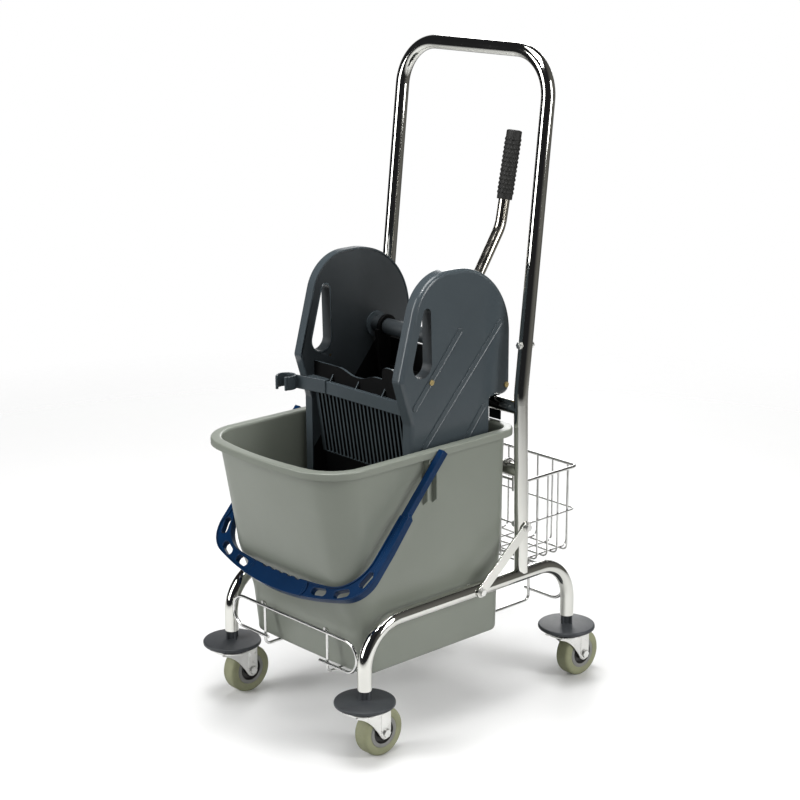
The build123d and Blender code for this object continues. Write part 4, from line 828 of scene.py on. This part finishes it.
# painted shade: the parts in the well between the cheeks are painted near black, so only the grille's
# slats, its crest and the gussets' tops show a lit colour
wellShadeLook = {
    # these parts of the well are painted near black as painted shade
    "shadedNodes": ("press_plate", "wringer_back", "wringer_floor", "hanger_straps"),
    "paintedShade": {
        "color": (0.0035, 0.0036, 0.0038), "roughness": 0.45, "driftScale": 10, "drift": (0.8, 1.2),
        "scuffStretch": (1, 0.2, 1), "scuffScale": 90, "grainScale": 1400, "grainDepth": 0.00008,
        "waveScale": 40, "waveDepth": 0.0002, "specular": 0.08,
    },
    "slitLow": 0.3955, "slitHigh": 0.4990, "barTop": 0.5214, "reach": 0.1,
    "slatSide": 0.5, "crestUp": 0.5, "gussetSide": 0.8,    # shares of the normal along X or Z
}
# a near-black finish that stands in for the shade in the well
wellPaintedShade = plasticFinish("wellPaintedShade", wellShadeLook["paintedShade"])
fittings = {}
# the well's inner parts take the painted shade in place of their own finish
for node, (body, slot, width, joinFlats) in fittingLook.items():
    fittings[node] = softCopy(node, "soft_" + node, width, 3, joinFlats)
    dress(fittings[node], body, slot, node, finish=wellPaintedShade if node in wellShadeLook["shadedNodes"] else None)
print("fittings", len(fittings))


# cuts a piece's faces along planes, then paints those that pass the test in a second finish
def paintFaces(piece, planes, finish, test):
    if planes:
        activate(piece)
        bpy.ops.object.mode_set(mode="EDIT")
        for place, normal in planes:
            bpy.ops.mesh.select_all(action="SELECT")
            bpy.ops.mesh.bisect(plane_co=place, plane_no=normal)
        bpy.ops.object.mode_set(mode="OBJECT")
        evenShade(piece)
    piece.data.materials.append(finish)
    for face in piece.data.polygons:
        face.material_index = 1 if test(face.center, face.normal) else 0


def level(z):
    return (0, 0, z), (0, 0, 1)


# painted shade on the grille beside its slats and crest, and on the sides of the gussets on the front
# bar
def paintWellShade(look):
    def shadedBesideSlats(center, normal):
        slat = look["slitLow"] < center.z < look["slitHigh"] and abs(normal.x) < look["slatSide"]
        crest = center.z > look["barTop"] and normal.z > look["crestUp"]
        return not (slat or crest)

    def shadedGussetSide(center, normal):
        onTop = center.z > look["barTop"] and abs(center.x) < look["reach"]
        return onTop and abs(normal.x) > look["gussetSide"]

    slits = [level(look["slitLow"]), level(look["slitHigh"])]
    paintFaces(fittings["front_grille"], slits, wellPaintedShade, shadedBesideSlats)
    paintFaces(fittings["front_bar"], [], wellPaintedShade, shadedGussetSide)


paintWellShade(wellShadeLook)
print("well")

# the cheeks' slanting ribs, the painted shade on the walls of their hand slots and the painted shade on
# part of their liners
cheekLook = {
    # each rib's upper and lower end: behind the middle, height
    "ribs": [
        ((0.0070, 0.6190), (-0.0860, 0.5145)),
        ((0.0930, 0.6190), (-0.0675, 0.4500)),
        ((0.0580, 0.4900), (-0.0080, 0.4130)),
    ],
    "half": 0.0050, "endSteps": 8, "low": 0.1240, "high": 0.1279, "edge": 0.0007,
    "rim": 0.0018, "dish": 0.0012,
    "face": 0.1262, "under": 0.1256,    # the solid's rib stands past the face and is sunk under it
    # the slot's lower and upper end: behind the middle, height, radius
    "slotLow": (-0.0710, 0.5775, 0.0195), "slotTop": (-0.0615, 0.6560, 0.0080),
    "slotWall": 0.0012, "wallSide": 0.6,    # reach past the slot, share of the normal along X
    # the slanting edge and the height that bound the painted shade on the liners
    "shadeEdge": ((0.0418, 0.5574), (0.0062, 0.5160)), "shadeTop": 0.5700,
}


def ribOutline(look, start, end):
    angle = math.atan2(end[1] - start[1], end[0] - start[0])
    outline = []
    for (y, z), turn in ((start, math.pi / 2), (end, -math.pi / 2)):
        for i in range(look["endSteps"] + 1):
            a = angle + turn + math.pi * i / look["endSteps"]
            outline.append((y + midY + look["half"] * math.cos(a), z + look["half"] * math.sin(a)))
    return outline


def inSlot(look, y, z):
    *low, lowR = look["slotLow"]
    *top, topR = look["slotTop"]
    place, low = Vector((y - midY, z)), Vector(low)
    along = Vector(top) - low
    part = min(max((place - low).dot(along) / along.length_squared, 0), 1)
    return (place - low - along * part).length < lowR + (topR - lowR) * part + look["slotWall"]


# a rib stands up from the cheek and is dished between its rims
def makeRib(look, line, sign):
    low, high = sorted((sign * look["low"], sign * look["high"]))
    rib = plate("cheekRib", ribOutline(look, *line), low, high)
    bpy.ops.object.mode_set(mode="EDIT")
    pick(rib, "FACE", lambda f: f.normal.x * sign > facing)
    bpy.ops.mesh.inset(thickness=look["rim"], depth=0)
    bpy.ops.transform.translate(value=(-sign * look["dish"], 0, 0))
    bpy.ops.object.mode_set(mode="OBJECT")
    soften(rib, look["edge"], 3)
    rib.data.materials.append(finishes["wringer_plastic"])
    return rib


def makeCheeks(look):
    # painted shade: the walls of the hand slot take the darker liner finish
    def shadedSlotWall(center, normal):
        return abs(normal.x) < look["wallSide"] and inSlot(look, center.y, center.z)

    for side, sign in (("left", 1), ("right", -1)):
        shell = fittings["cheek_shell_" + side]
        for corner in shell.data.vertices:
            if corner.co.x * sign > look["face"]:
                corner.co.x = sign * look["under"]
        joinPieces(shell, [makeRib(look, line, sign) for line in look["ribs"]])
        evenShade(shell)
        paintFaces(shell, [], finishes["liner_plastic"], shadedSlotWall)


# painted shade: the liners are painted near black under the lever's axle, behind a slanting edge
def paintLinerShade(look):
    (topY, topZ), (lowY, lowZ) = look["shadeEdge"]
    onEdge = Vector((0, topY + midY, topZ))
    across = Vector((0, topZ - lowZ, lowY - topY))

    def shadedBehindEdge(center, normal):
        return (center - onEdge).dot(across) > 0 and center.z < look["shadeTop"]

    for side in ("left", "right"):
        planes = [(onEdge, across), level(look["shadeTop"])]
        paintFaces(fittings["cheek_liner_" + side], planes, wellPaintedShade, shadedBehindEdge)


makeCheeks(cheekLook)
paintLinerShade(cheekLook)
print("cheeks")

# floor, light and camera
stageLook = {
    "floorRadius": 2.6,
    "floorFade": (0.8, 2.3),
    "floorColor": (0.92, 0.92, 0.915), "floorRough": 0.8, "floorSpecular": 0.2,
    "floorCloud": 0.985, "floorCloudScale": 3.0,
    "floorDim": (0.42, 0.42, 0.415),    # the floor throws less light back on the object
    "backColor": (1.0, 1.0, 1.0),
    "roomColor": (0.02, 0.02, 0.022),
    # soft glows on the room's walls: direction, where each begins and is full, colour
    "glows": [
        ((-0.73, 0.68, 0.0), 0.86, 0.985, (0.9, 0.9, 0.9)),
        ((0.68, 0.73, 0.0), 0.35, 1.0, (0.15, 0.145, 0.13)),
    ],
    "lights": [
        {"name": "keyLight", "place": (-1.1, -2.7, 1.55), "size": (1.3, 2.2), "power": 68},
        {"name": "sideLight", "place": (3.0, 0.9, 1.6), "size": (0.9, 2.1), "power": 58},
        {"name": "topLight", "place": (0.1, -0.2, 3.2), "size": (1.7, 1.7), "power": 80},
        {"name": "fillLight", "place": (2.9, -1.6, 1.2), "size": (1.6, 1.6), "power": 26,
         "glossy": False},
        {"name": "sparkLight", "place": (0.65, -1.3, 3.1), "size": (0.3, 0.3), "power": 45,
         "diffuse": False},
        {"name": "rearLight", "place": (-1.8, 2.2, 1.8), "size": (0.7, 2.4), "power": 30},
    ],
    "aim": (0.0, 0.0, 0.5),
}
cameraLook = {
    "place": (2.15999, -1.983175, 1.30659),
    "turn": (74.2706, 0.1290, 47.3257),
    "lens": 87.06, "sensor": 36, "clipEnd": 100,
    "shift": (-0.00095, 0.00476),
}


def mixed(tree, fac, first, second):
    mix = tree.nodes.new("ShaderNodeMixShader")
    tree.links.new(fac, mix.inputs["Fac"])
    tree.links.new(first, mix.inputs[1])
    tree.links.new(second, mix.inputs[2])
    return mix.outputs["Shader"]


# a pale floor that fades out into the background
def makeFloor(look):
    clearPick()
    bpy.ops.mesh.primitive_circle_add(vertices=96, radius=look["floorRadius"], fill_type="NGON")
    floor = bpy.context.object
    floor.name = "studioFloor"
    color = look["floorColor"]
    mat, tree, shader, coords = startMaterial(
        "studioFloor", color, look["floorRough"], specular=look["floorSpecular"]
    )
    cloud = noise(tree, coords, look["floorCloudScale"])
    tree.links.new(
        tint(tree, cloud, [(0.3, shade(color, look["floorCloud"])), (0.7, color)]),
        shader.inputs["Base Color"],
    )
    dim = tree.nodes.new("ShaderNodeBsdfDiffuse")
    dim.inputs["Color"].default_value = (*look["floorDim"], 1)
    path = tree.nodes.new("ShaderNodeLightPath")
    lit = mixed(tree, path.outputs["Is Diffuse Ray"], shader.outputs["BSDF"], dim.outputs["BSDF"])
    length = tree.nodes.new("ShaderNodeVectorMath")
    length.operation = "LENGTH"
    tree.links.new(coords, length.inputs[0])
    clear = tree.nodes.new("ShaderNodeBsdfTransparent")
    fade = spread(tree, length.outputs["Value"], 0, 1, *look["floorFade"])
    surface = mixed(tree, fade, lit, clear.outputs["BSDF"])
    tree.links.new(surface, tree.nodes["Material Output"].inputs["Surface"])
    floor.data.materials.append(mat)


def makeLights(look):
    for spec in look["lights"]:
        bpy.ops.object.light_add(type="AREA", location=spec["place"])
        lamp = bpy.context.object
        lamp.name = spec["name"]
        lamp.data.shape = "RECTANGLE"
        lamp.data.size, lamp.data.size_y = spec["size"]
        lamp.data.energy = spec["power"]
        lamp.visible_glossy = spec.get("glossy", True)
        lamp.visible_diffuse = spec.get("diffuse", True)
        toward = Vector(look["aim"]) - lamp.location
        lamp.rotation_euler = toward.to_track_quat("-Z", "Y").to_euler()


# a dark room with soft glows to be mirrored in the chrome, and a plain background
def makeRoom(look):
    world = bpy.data.worlds.new("studioRoom")
    bpy.context.scene.world = world
    world.use_nodes = True
    tree = world.node_tree
    room = tree.nodes["Background"]
    plain = tree.nodes.new("ShaderNodeBackground")
    plain.inputs["Color"].default_value = (*look["backColor"], 1)
    room.inputs["Color"].default_value = (*look["roomColor"], 1)
    coords = tree.nodes.new("ShaderNodeTexCoord").outputs["Generated"]
    walls = room.outputs["Background"]
    for toward, begins, full, color in look["glows"]:
        nearness = tree.nodes.new("ShaderNodeVectorMath")
        nearness.operation = "DOT_PRODUCT"
        nearness.inputs[1].default_value = toward
        tree.links.new(coords, nearness.inputs[0])
        glow = tree.nodes.new("ShaderNodeBackground")
        glow.inputs["Color"].default_value = (*color, 1)
        power = spread(tree, nearness.outputs["Value"], 0, 1, begins, full)
        tree.links.new(power, glow.inputs["Strength"])
        both = tree.nodes.new("ShaderNodeAddShader")
        tree.links.new(walls, both.inputs[0])
        tree.links.new(glow.outputs["Background"], both.inputs[1])
        walls = both.outputs["Shader"]
    path = tree.nodes.new("ShaderNodeLightPath")
    surface = mixed(tree, path.outputs["Is Camera Ray"], walls, plain.outputs["Background"])
    tree.links.new(surface, tree.nodes["World Output"].inputs["Surface"])


def makeCamera(look):
    bpy.ops.object.camera_add(location=look["place"])
    camera = bpy.context.object
    camera.name = "photoCamera"
    camera.rotation_euler = [math.radians(angle) for angle in look["turn"]]
    camera.data.sensor_width = look["sensor"]
    camera.data.lens = look["lens"]
    camera.data.shift_x, camera.data.shift_y = look["shift"]
    camera.data.clip_end = look["clipEnd"]
    bpy.context.scene.camera = camera
    bpy.context.scene.view_settings.view_transform = "Standard"


makeFloor(stageLook)
makeLights(stageLook)
makeRoom(stageLook)
makeCamera(cameraLook)
print("stage and camera")
